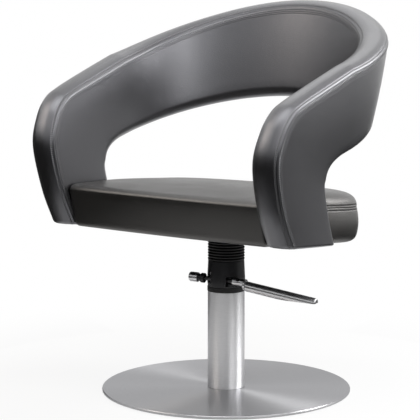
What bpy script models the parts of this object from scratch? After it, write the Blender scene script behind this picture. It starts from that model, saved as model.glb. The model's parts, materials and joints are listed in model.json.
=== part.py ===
"""Styling chair: a wrap-around arm band and seat on a foot-pumped hydraulic column."""
import math

import bmesh
import bpy
from mathutils import Matrix, Vector

# Clearances in metres
FIT = 0.0003            # between pieces that touch
PADDED_FIT = 0.0008     # between padding and the metal inside it
RUN = 0.0010            # around a piece that swings

# Base plate and column
DISC_RADIUS = 0.280
DISC_THICK = 0.0062
DISC_EDGE = 0.0015      # rounding of the rim
PAD_THICK = 0.0015      # rubber sheet under the disc
PAD_INSET = 0.006
COLUMN_RADIUS = 0.0416
COLUMN_WALL = 0.0020
COLUMN_HEIGHT = 0.2195

# Pump inside the column
CYLINDER_RADIUS = 0.033
BORE_RADIUS = 0.023
CYLINDER_FLOOR = 0.014
FOOT_THICK = 0.012
BASE_SCREW_RADIUS = 0.004
BASE_SCREW_HEAD = 0.008
BASE_SCREW_GRIP = 0.010   # thread in the cylinder's foot
BASE_SCREW_CIRCLE = 0.028
BASE_SCREWS = 4

# Collar and pump head
RING_HEIGHT = 0.010
RING_PROUD = 0.0008
COLLAR_HEIGHT = 0.0592
COLLAR_WALL = 0.0025
COLLAR_TAPER = 0.0013
COLLAR_BELLY = 0.0007     # beyond the column, at the collar's widest line
COLLAR_BELLY_RISE = 0.0175
COLLAR_TUCK = 0.0008      # drawn in at the lower edge
BUSH_LENGTH = 0.010
BUSH_WALL = 0.0045
WIPER_LENGTH = 0.004

# Ram
RAM_RADIUS = 0.014
RAM_TOP_MARGIN = 0.003
PISTON_LENGTH = 0.018
PISTON_RISE = 0.008       # above the cylinder's floor at the lowest seat
SEAL_LENGTH = 0.005
SEAL_DEPTH = 0.003
FLANGE_THICK = 0.003
FLANGE_RADIUS = 0.038
WASHER_THICK = 0.003
HUB_RADIUS = 0.024
HUB_LENGTH = 0.0242

# Bellows
BELLOWS_RADIUS = 0.0415
BELLOWS_BORE = 0.024
BELLOWS_LENGTH = 0.0441
BELLOWS_RIBS = 7
RIB_DEPTH = 0.0045
RIB_CROWN = 0.0012
RIB_SLIT = 0.22           # share of the pitch that is groove

# Pump lever
LEVER_TURN = math.radians(12.3)
LEVER_OFFSET = 0.030      # shaft in front of the column axis
LEVER_RISE = 0.0168       # pivot above the collar's lower edge
SHAFT_DROP = math.radians(2.5)   # resting slope of the shaft, down to the pedal
PIVOT_REACH = 0.012       # pivot to the right of the column axis
SHAFT_RADIUS = 0.005
PEDAL_SWING = math.radians(10.0)
PIN_RADIUS = 0.003
STUB_RADIUS = 0.011
STUB_CAP_LENGTH = 0.021
STUB_BUSH_LENGTH = 0.016
STUB_NECK = 0.008
STUB_REACH = 0.039        # start of the bush, left of the column axis
HUB_START = 0.030         # start of the pedal hub, right of the axis
PEDAL_HUB_LENGTH = 0.026
PEDAL_HUB_RADIUS = 0.008
CLAMP_LENGTH = 0.005
CLAMP_RADIUS = 0.0120
CLAMP_DROP = 0.0035       # clamp's middle below the shaft's line
PEDAL_RADIUS = 0.0115
PEDAL_LENGTH = 0.168
PEDAL_START_DROP = 0.0070  # bar's start below the shaft's line
PEDAL_DROP = math.radians(6.4)   # slope of the bar from the shaft's line
PEDAL_ROUND = 0.45        # share of the bar that stays round
PEDAL_TIP_HALF = 0.0055   # half thickness of the flattened tip
PEDAL_TIP_WIDE = 0.0135   # half width of the flattened tip
LEVER_SCREW_RADIUS = 0.0036
LEVER_SCREW_PROUD = 0.0016

# Pump plunger
PLUNGER_REACH = 0.014     # left of the column axis
PLUNGER_OFFSET = 0.019    # in front of the column axis
PLUNGER_RADIUS = 0.004
LIP_WIDTH = 0.005
LIP_THICK = 0.004
LIP_GAP = 0.0009          # over the resting shaft

# Seat
SEAT_TILT = math.radians(5.5)
SEAT_WIDTH_FRONT = 0.513
SEAT_WIDTH_REAR = 0.526
SEAT_FRONT = 0.250        # front corners ahead of the column axis
SEAT_BULGE = 0.014
SEAT_CORNER = 0.006
SEAT_REAR = 0.265
SEAT_TURN = 0.060         # where the sides start to turn
SEAT_SQUARE = 2.25        # exponent of the rear outline, 2 being an ellipse
SEAT_SEAM = 0.073         # seam above the lower edge
SEAT_THICK = 0.107        # at the crown
SEAT_ROLL = 0.050         # width of the rolled upper edge at the rear
SIDE_ROLL = 0.003         # and beside the legs
FRONT_ROLL = 0.009        # and at the front,
FRONT_EDGE = 0.0887       # where it starts at this level
SEAT_CROWN = 0.0015       # rise of the middle over the rolled edge
SEAT_SLANT = 0.031        # lower front edge set back
SLANT_LEVEL = 0.078       # level where the front's slant bends upright,
SLANT_BEND = 0.014        # over this length
SEAT_FALL = 0.017         # drop of the top from the rear to the front
LOWER_INSET = 0.008       # rounding of the lower edge
REAR_ROUND = 0.014        # and at the rear
REAR_PUFF = 0.006         # bulge of the rear below the seam
SEAT_DROOP = 0.0045       # cushion's lower edge below the legs' plane
SKIRT = 0.020
PLATE_RISE = 0.0124       # seat plate above the seat's lower edge
PLATE_THICK = 0.005
PLATE_SIDE = 0.170
BOARD_THICK = 0.012
COVER_RISE = 0.001
COVER_THICK = 0.0015
PLATE_BOLT_SPACING = 0.120
BOLT_RADIUS = 0.003
BOLT_HEAD = 0.0055
BOLT_HEAD_HEIGHT = 0.004
BOLT_GRIP = 0.008

# Arm band
BAND_THICK = 0.062
BAND_GAP = 0.0035          # between the seat's side and the leg, at the seat's seam
BAND_TURN = 0.010         # where the back's curve meets the arms, ahead of the axis
BACK_REACH = 0.2765        # back's middle surface behind the axis, at LEAN_RISE
LEAN_RISE = 0.239
LEAN_ARM = math.radians(4.6)
LEAN_BACK = math.radians(11.0)
LEG_FLARE = 0.215         # bends the leaning legs upright towards the foot, per metre
BACK_TOP = 0.5065         # rises are above the seat's lower plane at the axis
BACK_HEM = 0.2840
TURN_TOP = 0.3855
TURN_HEM = 0.2002
CREST_COSINE = 0.5        # shares of the fall to the arms that go with the cosine,
HEM_COSINE = 0.8          # the rest going with its square
LEG_FRONT = 0.229
LEG_REAR = 0.051
FOOT_DROP = 0.003         # feet's front below the seat's lower plane
# Crest reach and rise, hem reach and rise, along the arm and down the leg
ARM_LINES = (
    (0.105, 0.3558, 0.038, 0.1925),
    (0.200, 0.3238, 0.064, 0.1810),
    (0.240, 0.3035, 0.081, 0.1660),
    (0.2715, 0.2645, 0.0885, 0.1480),
    (0.2915, 0.2000, 0.0905, 0.1270),
    (0.268, 0.1000, 0.072, 0.0620),
)
BULLNOSE = 0.021
HEM_ROUND_IN = 0.026
HEM_ROUND_OUT = 0.010
FACE_CROWN = 0.0015

# Steel inside the band and its brackets
FRAME_RADIUS = 0.010
FRAME_WALL = 0.002
PLUG_LENGTH = 0.020
BRACKET_WIDTH = 0.040
BRACKET_INNER = 0.120
BRACKET_END = 0.014       # bracket beyond the frame tube's middle
ARM_BOLT_RADIUS = 0.003
ARM_BOLT_HEAD = 0.0058
ARM_BOLT_GRIP = 0.006

# Heights, from the floor up
DISC_BASE_Z = PAD_THICK + FIT
DISC_TOP_Z = DISC_BASE_Z + DISC_THICK
COLUMN_BASE_Z = DISC_TOP_Z + FIT
COLUMN_TOP_Z = COLUMN_BASE_Z + COLUMN_HEIGHT
RING_BASE_Z = COLUMN_TOP_Z + FIT
COLLAR_BASE_Z = RING_BASE_Z + RING_HEIGHT + FIT
COLLAR_TOP_Z = COLLAR_BASE_Z + COLLAR_HEIGHT
HEAD_BASE_Z = COLUMN_TOP_Z + FIT
HEAD_TOP_Z = COLLAR_TOP_Z - COLLAR_WALL - FIT
BELLOWS_BASE_Z = COLLAR_TOP_Z + FIT
BELLOWS_TOP_Z = BELLOWS_BASE_Z + BELLOWS_LENGTH
FLANGE_BASE_Z = BELLOWS_TOP_Z + FIT
WASHER_BASE_Z = FLANGE_BASE_Z + FLANGE_THICK + FIT
HUB_BASE_Z = WASHER_BASE_Z + WASHER_THICK + FIT
HUB_TOP_Z = HUB_BASE_Z + HUB_LENGTH
SEAT_BASE_Z = HUB_TOP_Z + FIT - PLATE_RISE / math.cos(SEAT_TILT)
LEVER_Z = COLLAR_BASE_Z + LEVER_RISE
PISTON_BASE_Z = COLUMN_BASE_Z + CYLINDER_FLOOR + PISTON_RISE

# Radii and seat levels that follow from the above
COLUMN_BORE = COLUMN_RADIUS - COLUMN_WALL
COLLAR_RADIUS = COLUMN_RADIUS + FIT
HEAD_RADIUS = COLLAR_RADIUS - COLLAR_TAPER - COLLAR_WALL - FIT
BOARD_RISE = PLATE_RISE + PLATE_THICK + FIT
RECESS_DEPTH = BOARD_RISE + BOARD_THICK + FIT
SEAT_RIM = SEAT_THICK - SEAT_CROWN
RECESS_INSET = LOWER_INSET + SKIRT
BAND_HALF = BAND_THICK / 2
ARM_MIDDLE = (SEAT_WIDTH_FRONT / 2 + BAND_GAP + BAND_HALF
              + (LEAN_RISE - SEAT_SEAM) * math.tan(LEAN_ARM)
              - (LEAN_RISE - SEAT_SEAM) ** 2 * LEG_FLARE)
BACK_DEPTH = BACK_REACH + BAND_TURN


def clear_scene():
    for old in list(bpy.data.objects):
        bpy.data.objects.remove(old, do_unlink=True)


def make_collection(name):
    group = bpy.data.collections.new(name)
    bpy.context.scene.collection.children.link(group)
    return group


def make_material(name, colour, roughness, metallic=0.0):
    mat = bpy.data.materials.new(name)
    mat.use_nodes = True
    shader = mat.node_tree.nodes["Principled BSDF"]
    shader.inputs["Base Color"].default_value = (*colour, 1.0)
    shader.inputs["Roughness"].default_value = roughness
    shader.inputs["Metallic"].default_value = metallic
    return mat


clear_scene()
PARTS = make_collection("styling_chair")
CUTTERS = make_collection("cutters")
LEATHER = make_material("leather", (0.035, 0.035, 0.037), 0.45)
STEEL = make_material("brushed_stainless", (0.55, 0.55, 0.56), 0.32, 1.0)
CHROME = make_material("chrome", (0.75, 0.75, 0.76), 0.10, 1.0)
PLASTIC = make_material("black_plastic", (0.010, 0.010, 0.012), 0.42)
RUBBER = make_material("black_rubber", (0.012, 0.012, 0.012), 0.65)
DARK_STEEL = make_material("dark_steel", (0.08, 0.08, 0.085), 0.40, 1.0)
BRONZE = make_material("bronze", (0.42, 0.27, 0.12), 0.40, 1.0)
CASTING = make_material("aluminium_casting", (0.50, 0.50, 0.52), 0.50, 1.0)
PLYWOOD = make_material("plywood", (0.45, 0.30, 0.17), 0.70)
COVER_CLOTH = make_material("underside_cloth", (0.015, 0.015, 0.016), 0.90)


def make_empty(name, location=(0, 0, 0), rotation=(0, 0, 0), parent=None):
    empty = bpy.data.objects.new(name, None)
    PARTS.objects.link(empty)
    empty.location = location
    empty.rotation_euler = rotation
    empty.parent = parent
    return empty


def add_object(name, mesh, material=None, parent=None):
    """Link a mesh as a sub-part, or as a cutter where it has no material."""
    obj = bpy.data.objects.new(name, mesh)
    obj.parent = parent
    if material is None:
        CUTTERS.objects.link(obj)
        obj.hide_render = True
        obj.display_type = "WIRE"
    else:
        PARTS.objects.link(obj)
        mesh.materials.append(material)
    return obj


def mesh_from(bm, name):
    bmesh.ops.recalc_face_normals(bm, faces=bm.faces)
    mesh = bpy.data.meshes.new(name)
    bm.to_mesh(mesh)
    bm.free()
    mesh.shade_smooth()
    mesh.set_sharp_from_angle(angle=math.radians(35))
    return mesh


def turned(name, profile, material=None, parent=None, steps=48, closed=True):
    """Turn a profile of (radius, height) points, listed down its outer side."""
    mesh = bpy.data.meshes.new(name)
    count = len(profile)
    edges = [(i, i + 1) for i in range(count - 1)]
    if closed:
        edges.append((count - 1, 0))
    mesh.from_pydata([(r, 0, z) for r, z in profile], edges, [])
    obj = add_object(name, mesh, material, parent)
    screw = obj.modifiers.new("turn", "SCREW")
    screw.steps = steps
    screw.render_steps = steps
    screw.use_merge_vertices = True
    screw.merge_threshold = 0.00001
    screw.use_smooth_shade = True
    return obj


def ring(name, inner, outer, base, top, material=None, parent=None, steps=48):
    """A plain turned ring."""
    return turned(name, [(outer, top), (outer, base), (inner, base), (inner, top)],
                  material, parent, steps)


def rods(name, ends, radius, material=None, parent=None, segments=24):
    """One mesh of straight round rods, each between two points."""
    bm = bmesh.new()
    for start, end in ends:
        start, end = Vector(start), Vector(end)
        axis = end - start
        turn = axis.to_track_quat("Z", "Y").to_matrix().to_4x4()
        place = Matrix.Translation((start + end) / 2) @ turn
        bmesh.ops.create_cone(bm, cap_ends=True, segments=segments, radius1=radius,
                              radius2=radius, depth=axis.length, matrix=place)
    return add_object(name, mesh_from(bm, name), material, parent)


def blocks(name, corners, material=None, parent=None):
    """One mesh of boxes, each given by its low and high corner."""
    bm = bmesh.new()
    for low, high in corners:
        low, high = Vector(low), Vector(high)
        size = high - low
        place = Matrix.Translation((low + high) / 2) @ Matrix.Diagonal((*size, 1))
        bmesh.ops.create_cube(bm, size=1, matrix=place)
    return add_object(name, mesh_from(bm, name), material, parent)


def loft(bm, rings, cap_start=True, cap_end=True):
    """Skin rings of equal count with quads and return their vertices."""
    levels = [[bm.verts.new(point) for point in points] for points in rings]
    count = len(levels[0])
    for lower, upper in zip(levels, levels[1:]):
        for i in range(count):
            j = (i + 1) % count
            bm.faces.new((lower[i], lower[j], upper[j], upper[i]))
    if cap_start:
        bm.faces.new(levels[0])
    if cap_end:
        bm.faces.new(levels[-1])
    return levels


def lofted(name, rings, material=None, parent=None):
    bm = bmesh.new()
    loft(bm, rings)
    return add_object(name, mesh_from(bm, name), material, parent)


def boolean(obj, tool, operation="DIFFERENCE"):
    mod = obj.modifiers.new(operation.lower(), "BOOLEAN")
    mod.operation = operation
    mod.solver = "EXACT"
    mod.object = tool


def bevel(obj, width, segments=2, angle=40):
    mod = obj.modifiers.new("bevel", "BEVEL")
    mod.width = width
    mod.segments = segments
    mod.limit_method = "ANGLE"
    mod.angle_limit = math.radians(angle)


def circle(radius, count, phase=0.0):
    turns = [phase + 2 * math.pi * i / count for i in range(count)]
    return [(radius * math.cos(a), radius * math.sin(a)) for a in turns]


def hexagon(radius):
    """Corners and mid-edges of a hexagon, so that it lofts to a round shank."""
    flat = radius * math.cos(math.pi / 6)
    turns = [math.pi * i / 6 for i in range(12)]
    return [((radius if i % 2 == 0 else flat) * math.cos(a),
             (radius if i % 2 == 0 else flat) * math.sin(a)) for i, a in enumerate(turns)]


def hex_bolt(name, place, head, head_height, shank, grip, parent):
    """A bolt driven upwards: its head hangs below the place, its shank rises from it."""
    x, y, z = place
    sections = [(hexagon(head), z - head_height), (hexagon(head), z),
                (circle(shank, 12), z), (circle(shank, 12), z + grip)]
    rings = [[(x + u, y + v, level) for u, v in outline] for outline, level in sections]
    return lofted(name, rings, DARK_STEEL, parent)


def smooth(t):
    t = min(max(t, 0.0), 1.0)
    return t * t * (3 - 2 * t)


# Base plate and column
def build_base():
    pad_radius = DISC_RADIUS - PAD_INSET
    turned("floor_pad", [(0, PAD_THICK), (pad_radius, PAD_THICK), (pad_radius, 0), (0, 0)],
           RUBBER, steps=64, closed=False)
    rim = DISC_RADIUS - DISC_EDGE
    disc = turned("base_disc", [
        (0, DISC_TOP_Z), (rim, DISC_TOP_Z), (DISC_RADIUS, DISC_TOP_Z - DISC_EDGE),
        (DISC_RADIUS, DISC_BASE_Z + DISC_EDGE), (rim, DISC_BASE_Z), (0, DISC_BASE_Z)],
        STEEL, steps=64, closed=False)
    ring("column_tube", COLUMN_BORE, COLUMN_RADIUS, COLUMN_BASE_Z, COLUMN_TOP_Z, STEEL)
    foot = COLUMN_BORE - FIT
    floor_z = COLUMN_BASE_Z + CYLINDER_FLOOR
    cylinder = turned("pump_cylinder", [
        (0, floor_z), (BORE_RADIUS, floor_z), (BORE_RADIUS, COLUMN_TOP_Z),
        (CYLINDER_RADIUS, COLUMN_TOP_Z), (CYLINDER_RADIUS, COLUMN_BASE_Z + FOOT_THICK),
        (foot, COLUMN_BASE_Z + FOOT_THICK), (foot, COLUMN_BASE_Z), (0, COLUMN_BASE_Z)],
        DARK_STEEL, steps=40, closed=False)
    build_base_screws(disc, cylinder)


def build_base_screws(disc, cylinder):
    """Countersunk screws hold the cylinder's foot on the disc from below."""
    cone = BASE_SCREW_HEAD - BASE_SCREW_RADIUS
    head_z = DISC_BASE_Z + FIT
    tip_z = COLUMN_BASE_Z + BASE_SCREW_GRIP
    for index in range(BASE_SCREWS):
        turn = 2 * math.pi * (index + 0.5) / BASE_SCREWS
        x = BASE_SCREW_CIRCLE * math.cos(turn)
        y = BASE_SCREW_CIRCLE * math.sin(turn)
        screw = turned(f"base_screw_{index + 1}", [
            (0, tip_z), (BASE_SCREW_RADIUS, tip_z), (BASE_SCREW_RADIUS, head_z + cone),
            (BASE_SCREW_HEAD, head_z), (0, head_z)], DARK_STEEL, steps=16, closed=False)
        screw.location = (x, y, 0)
        hole = turned(f"base_screw_hole_{index + 1}", [
            (0, tip_z + FIT), (BASE_SCREW_RADIUS + FIT, tip_z + FIT),
            (BASE_SCREW_RADIUS + FIT, head_z + cone), (BASE_SCREW_HEAD + 2 * FIT, head_z - FIT),
            (BASE_SCREW_HEAD + 2 * FIT, head_z - 2 * FIT), (0, head_z - 2 * FIT)],
            steps=16, closed=False)
        hole.location = (x, y, 0)
        boolean(disc, hole)
        boolean(cylinder, hole)


# Collar, pump head and the guide of the ram
def build_collar(pump):
    low, high = COLLAR_RADIUS, COLLAR_RADIUS - COLLAR_TAPER
    lid_z = COLLAR_TOP_Z - COLLAR_WALL
    ring("collar_ring", HEAD_RADIUS + FIT, COLUMN_RADIUS + RING_PROUD,
         RING_BASE_Z, RING_BASE_Z + RING_HEIGHT, RUBBER)
    shell = turned("collar_shell", [
        (BELLOWS_BORE, COLLAR_TOP_Z), (high, COLLAR_TOP_Z),
        (low + COLLAR_BELLY, COLLAR_BASE_Z + COLLAR_BELLY_RISE),
        (low + COLLAR_BELLY * 0.6, COLLAR_BASE_Z + COLLAR_BELLY_RISE / 2),
        (low - COLLAR_TUCK, COLLAR_BASE_Z),
        (low - COLLAR_WALL, COLLAR_BASE_Z), (high - COLLAR_WALL, lid_z), (BELLOWS_BORE, lid_z)],
        PLASTIC)
    bush_outer = RAM_RADIUS + FIT + BUSH_WALL
    bush_base = HEAD_TOP_Z - WIPER_LENGTH - FIT - BUSH_LENGTH
    seat_bore = bush_outer + FIT
    head = turned("pump_head", [
        (seat_bore, HEAD_TOP_Z), (HEAD_RADIUS, HEAD_TOP_Z), (HEAD_RADIUS, HEAD_BASE_Z),
        (RAM_RADIUS + RUN, HEAD_BASE_Z), (RAM_RADIUS + RUN, bush_base - FIT),
        (seat_bore, bush_base - FIT)], CASTING)
    ring("guide_bush", RAM_RADIUS + FIT, bush_outer, bush_base, bush_base + BUSH_LENGTH,
         BRONZE, steps=32)
    ring("rod_wiper", RAM_RADIUS + FIT, bush_outer, HEAD_TOP_Z - WIPER_LENGTH, HEAD_TOP_Z,
         RUBBER, steps=32)
    cut_lever_way(head, shell, pump, bush_base)


def cut_lever_way(head, shell, pump, bush_base):
    """Open the head and the collar where the rocker shaft and plunger work.

    Local X runs below the shaft and local Y towards the column axis, from the pivot."""
    slope = math.tan(SHAFT_DROP + PEDAL_SWING)
    wide = SHAFT_RADIUS + RUN
    hub_wide = PEDAL_HUB_RADIUS + RUN
    reach = 2 * COLLAR_RADIUS
    low_z = COLLAR_BASE_Z + FIT - LEVER_Z
    top_z = bush_base - 2 * FIT - RUN - LEVER_Z
    way = blocks("lever_way", [((-reach, -reach, low_z), (reach, hub_wide, top_z))], parent=pump)
    boolean(head, way)
    plunger_x = -(PIVOT_REACH + PLUNGER_REACH)
    plunger_y = LEVER_OFFSET - PLUNGER_OFFSET
    pocket_half = max(LIP_WIDTH / 2, PLUNGER_RADIUS) + RUN
    pocket = blocks("plunger_pocket", [
        ((plunger_x - pocket_half, 0, low_z + FIT),
         (plunger_x + pocket_half, plunger_y + PLUNGER_RADIUS + RUN, top_z - FIT))],
        parent=pump)
    boolean(head, pocket)
    bore = rods("plunger_bore", [((plunger_x, plunger_y, HEAD_BASE_Z - RUN - LEVER_Z),
                                  (plunger_x, plunger_y, low_z + RUN))],
                PLUNGER_RADIUS + FIT, parent=pump)
    boolean(head, bore)
    pin_hole = rods("pivot_pin_hole", [((0, 0, 0), (0, pivot_pin_end() + FIT, 0))],
                    PIN_RADIUS + FIT, parent=pump)
    boolean(head, pin_hole)
    rods("pivot_pin", [((0, -SHAFT_RADIUS, 0), (0, pivot_pin_end(), 0))], PIN_RADIUS,
         DARK_STEEL, pump)
    inside = HEAD_RADIUS / 3
    hub_drop = (HUB_START - PIVOT_REACH) * slope + RUN
    stub_lift = (HEAD_RADIUS + PIVOT_REACH) * slope + RUN
    windows = blocks("collar_windows", [
        ((inside - PIVOT_REACH, -hub_wide, -PEDAL_HUB_RADIUS - hub_drop),
         (reach, hub_wide, hub_wide)),
        ((-reach, -wide, -wide), (-inside - PIVOT_REACH, wide, wide + stub_lift))],
        parent=pump)
    boolean(shell, windows)


def pivot_pin_end():
    """How far the pivot pin runs into the head, towards the column axis."""
    return LEVER_OFFSET - RAM_RADIUS + RUN


# Bellows between the collar and the ram
def build_bellows():
    pitch = BELLOWS_LENGTH / BELLOWS_RIBS
    slit = pitch * RIB_SLIT
    outer = []
    for index in range(BELLOWS_RIBS):
        top = BELLOWS_TOP_Z - index * pitch
        if index > 0:
            outer.append((BELLOWS_RADIUS - RIB_DEPTH, top))
        outer.append((BELLOWS_RADIUS - RIB_CROWN, top - slit / 2))
        outer.append((BELLOWS_RADIUS, top - pitch / 2))
        outer.append((BELLOWS_RADIUS - RIB_CROWN, top - pitch + slit / 2))
    bore = [(BELLOWS_BORE, BELLOWS_BASE_Z), (BELLOWS_BORE, BELLOWS_TOP_Z)]
    top_edge = [(BELLOWS_RADIUS - RIB_CROWN - slit / 2, BELLOWS_TOP_Z)]
    base_edge = [(BELLOWS_RADIUS - RIB_CROWN - slit / 2, BELLOWS_BASE_Z)]
    turned("bellows", top_edge + outer + base_edge + bore, RUBBER, steps=32)


# Ram, piston and what the seat turns on
def build_ram(lift):
    ram_top = HUB_TOP_Z - RAM_TOP_MARGIN
    piston_top = PISTON_BASE_Z + PISTON_LENGTH
    piston_radius = BORE_RADIUS - FIT - FIT
    turned("ram_rod", [(0, ram_top), (RAM_RADIUS, ram_top), (RAM_RADIUS, piston_top + FIT),
                       (0, piston_top + FIT)], CHROME, lift, steps=32, closed=False)
    groove = piston_radius - SEAL_DEPTH
    middle = PISTON_BASE_Z + PISTON_LENGTH / 2
    half = SEAL_LENGTH / 2
    turned("piston", [
        (0, piston_top), (piston_radius, piston_top), (piston_radius, middle + half + FIT),
        (groove, middle + half + FIT), (groove, middle - half - FIT),
        (piston_radius, middle - half - FIT), (piston_radius, PISTON_BASE_Z),
        (0, PISTON_BASE_Z)], DARK_STEEL, lift, steps=32, closed=False)
    ring("piston_seal", groove + FIT, BORE_RADIUS - FIT, middle - half, middle + half,
         RUBBER, lift, steps=32)
    ring("bellows_flange", RAM_RADIUS + FIT, FLANGE_RADIUS, FLANGE_BASE_Z,
         FLANGE_BASE_Z + FLANGE_THICK, DARK_STEEL, lift, steps=40)
    ring("thrust_washer", RAM_RADIUS + FIT, HUB_RADIUS, WASHER_BASE_Z,
         WASHER_BASE_Z + WASHER_THICK, BRONZE, lift, steps=32)


# Rocker lever with its pedal
def build_lever(lever):
    """Local X runs along the shaft from the pivot and local Y towards the column axis."""
    stub_start = -(STUB_REACH + PIVOT_REACH)
    bush_end = stub_start - STUB_BUSH_LENGTH
    cap_start = bush_end - FIT
    cap_end = cap_start - STUB_CAP_LENGTH
    hub_start = HUB_START - PIVOT_REACH
    hub_end = hub_start + PEDAL_HUB_LENGTH
    socket = STUB_CAP_LENGTH / 2
    shaft = rods("rocker_shaft", [((cap_start - socket, 0, 0), (hub_end - RUN, 0, 0))],
                 SHAFT_RADIUS, DARK_STEEL, lever)
    pin_way = rods("pin_way", [((0, -STUB_RADIUS, 0), (0, STUB_RADIUS, 0))],
                   PIN_RADIUS + FIT, parent=lever)
    boolean(shaft, pin_way)
    to_shaft = (0, -math.pi / 2, 0)
    neck = STUB_NECK + FIT
    bush = turned("stub_bush", [
        (SHAFT_RADIUS + FIT, STUB_BUSH_LENGTH), (neck, STUB_BUSH_LENGTH),
        (neck, STUB_BUSH_LENGTH * 0.6), (STUB_RADIUS, STUB_BUSH_LENGTH * 0.5),
        (STUB_RADIUS, 0), (SHAFT_RADIUS + FIT, 0)], PLASTIC, lever, steps=24)
    bush.location = (stub_start, 0, 0)
    bush.rotation_euler = to_shaft
    dome = STUB_RADIUS * 0.35
    cap = turned("stub_cap", [
        (0, STUB_CAP_LENGTH), (STUB_RADIUS - dome, STUB_CAP_LENGTH),
        (STUB_RADIUS - dome * 0.3, STUB_CAP_LENGTH - dome * 0.3),
        (STUB_RADIUS, STUB_CAP_LENGTH - dome), (STUB_RADIUS, 0), (SHAFT_RADIUS + FIT, 0),
        (SHAFT_RADIUS + FIT, socket + FIT), (0, socket + FIT)], CHROME, lever, steps=24,
        closed=False)
    cap.location = (cap_start, 0, 0)
    cap.rotation_euler = to_shaft
    hub = turned("pedal_hub", [
        (0, PEDAL_HUB_LENGTH), (PEDAL_HUB_RADIUS, PEDAL_HUB_LENGTH), (PEDAL_HUB_RADIUS, 0),
        (SHAFT_RADIUS + FIT, 0), (SHAFT_RADIUS + FIT, PEDAL_HUB_LENGTH - RUN + FIT),
        (0, PEDAL_HUB_LENGTH - RUN + FIT)], CHROME, lever, steps=24, closed=False)
    hub.location = (hub_start, 0, 0)
    hub.rotation_euler = (0, math.pi / 2, 0)
    lever_screw("stub_screw", cap, cap_start - STUB_CAP_LENGTH / 2, STUB_RADIUS, lever)
    lever_screw("hub_screw", hub, hub_start + PEDAL_HUB_LENGTH / 2, PEDAL_HUB_RADIUS, lever)
    build_pedal(lever, hub_end + FIT)


def lever_screw(name, carrier, along, radius, lever):
    """A set screw in the carrier's upper front side, its head just proud."""
    out = Vector((0, -1, 1)).normalized()
    seat = radius - LEVER_SCREW_RADIUS / 2
    base = Vector((along, 0, 0)) + out * seat
    top = Vector((along, 0, 0)) + out * (radius + LEVER_SCREW_PROUD)
    rods(name, [(base, top)], LEVER_SCREW_RADIUS, DARK_STEEL, lever, segments=16)
    hole = rods(f"{name}_hole", [(base - out * FIT, top + out * RUN)],
                LEVER_SCREW_RADIUS + FIT, parent=lever, segments=16)
    boolean(carrier, hole)


def build_pedal(lever, clamp_start):
    """A round bar below the shaft's line, its end flattened from below for the foot."""
    clamp = turned("pedal_clamp", [
        (0, CLAMP_LENGTH), (CLAMP_RADIUS, CLAMP_LENGTH), (CLAMP_RADIUS, 0), (0, 0)],
        CHROME, lever, steps=24, closed=False)
    clamp.rotation_euler = (0, math.pi / 2, 0)
    clamp.location = (clamp_start, 0, -CLAMP_DROP)
    start = clamp_start + CLAMP_LENGTH + FIT
    stations = [(0.0, 0.0, 0.94), (0.01, 0.0, 1.0), (PEDAL_ROUND, 0.0, 1.0),
                (PEDAL_ROUND + 0.06, 0.30, 1.0), (PEDAL_ROUND + 0.20, 0.62, 1.0),
                (0.90, 0.95, 1.0), (0.97, 1.0, 0.95), (0.995, 1.0, 0.72)]
    rings = []
    for along, flat, close in stations:
        half = PEDAL_RADIUS + (PEDAL_TIP_HALF - PEDAL_RADIUS) * flat
        wide = PEDAL_RADIUS + (PEDAL_TIP_WIDE - PEDAL_RADIUS) * flat
        run = PEDAL_LENGTH * along
        middle = PEDAL_RADIUS - half - PEDAL_START_DROP - run * math.tan(PEDAL_DROP)
        rings.append([(start + run, v * wide * close, middle + u * half * close)
                      for u, v in circle(1.0, 16)])
    lofted("pedal_bar", rings, CHROME, lever)


# Plunger that the rocker's far end lifts
def build_plunger(pump):
    x = -(PIVOT_REACH + PLUNGER_REACH)
    y = LEVER_OFFSET - PLUNGER_OFFSET
    lip_z = SHAFT_RADIUS / math.cos(SHAFT_DROP) - x * math.tan(SHAFT_DROP) + LIP_GAP
    base_z = HEAD_BASE_Z + RUN - LEVER_Z
    plunger = rods("pump_plunger", [((x, y, base_z), (x, y, lip_z + LIP_THICK))],
                   PLUNGER_RADIUS, DARK_STEEL, pump)
    lip = blocks("plunger_lip", [
        ((x - LIP_WIDTH / 2, -SHAFT_RADIUS / 2, lip_z),
         (x + LIP_WIDTH / 2, y, lip_z + LIP_THICK - FIT))], parent=pump)
    boolean(plunger, lip, "UNION")


# Outline of the seat
def seat_half_outline(insets):
    """Right half of the seat's outline, drawn in at its sides, rear and front by the insets."""
    beside, behind, ahead = insets
    front = SEAT_WIDTH_FRONT / 2 - beside
    rear = SEAT_WIDTH_REAR / 2 - behind
    corner = max(SEAT_CORNER - beside, SEAT_CORNER / 2)
    straight = front - corner
    side_start = corner + ahead - SEAT_FRONT
    points = []
    for i in range(5):
        x = straight * i / 5
        points.append((x, ahead - SEAT_FRONT - SEAT_BULGE * (1 - (x / straight) ** 2)))
    for i in range(4):
        turn = math.pi / 2 * i / 4
        points.append((straight + corner * math.sin(turn), side_start - corner * math.cos(turn)))
    for i in range(6):
        share = i / 6
        x = front + (rear - front) * smooth(share * share)
        points.append((x, side_start + (SEAT_TURN - side_start) * share))
    for i in range(10):
        turn = math.pi / 2 * i / 10
        across = math.cos(turn) ** (2 / SEAT_SQUARE)
        back = math.sin(turn) ** (2 / SEAT_SQUARE)
        points.append((rear * across, SEAT_TURN + (SEAT_REAR - behind - SEAT_TURN) * back))
    points.append((0.0, SEAT_REAR - behind))
    return points


def upper_share(level):
    """Share of the way from the seam to the rim, and 0 below the seam."""
    return max(0.0, (level - SEAT_SEAM) / (SEAT_RIM - SEAT_SEAM))


def front_slant(level):
    """How far the front is set back at a level."""
    left = SLANT_LEVEL - level + SEAT_FALL * upper_share(level)
    return (SEAT_SLANT * (left + math.hypot(left, SLANT_BEND))
            / (SLANT_LEVEL + math.hypot(SLANT_LEVEL, SLANT_BEND)))


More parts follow.
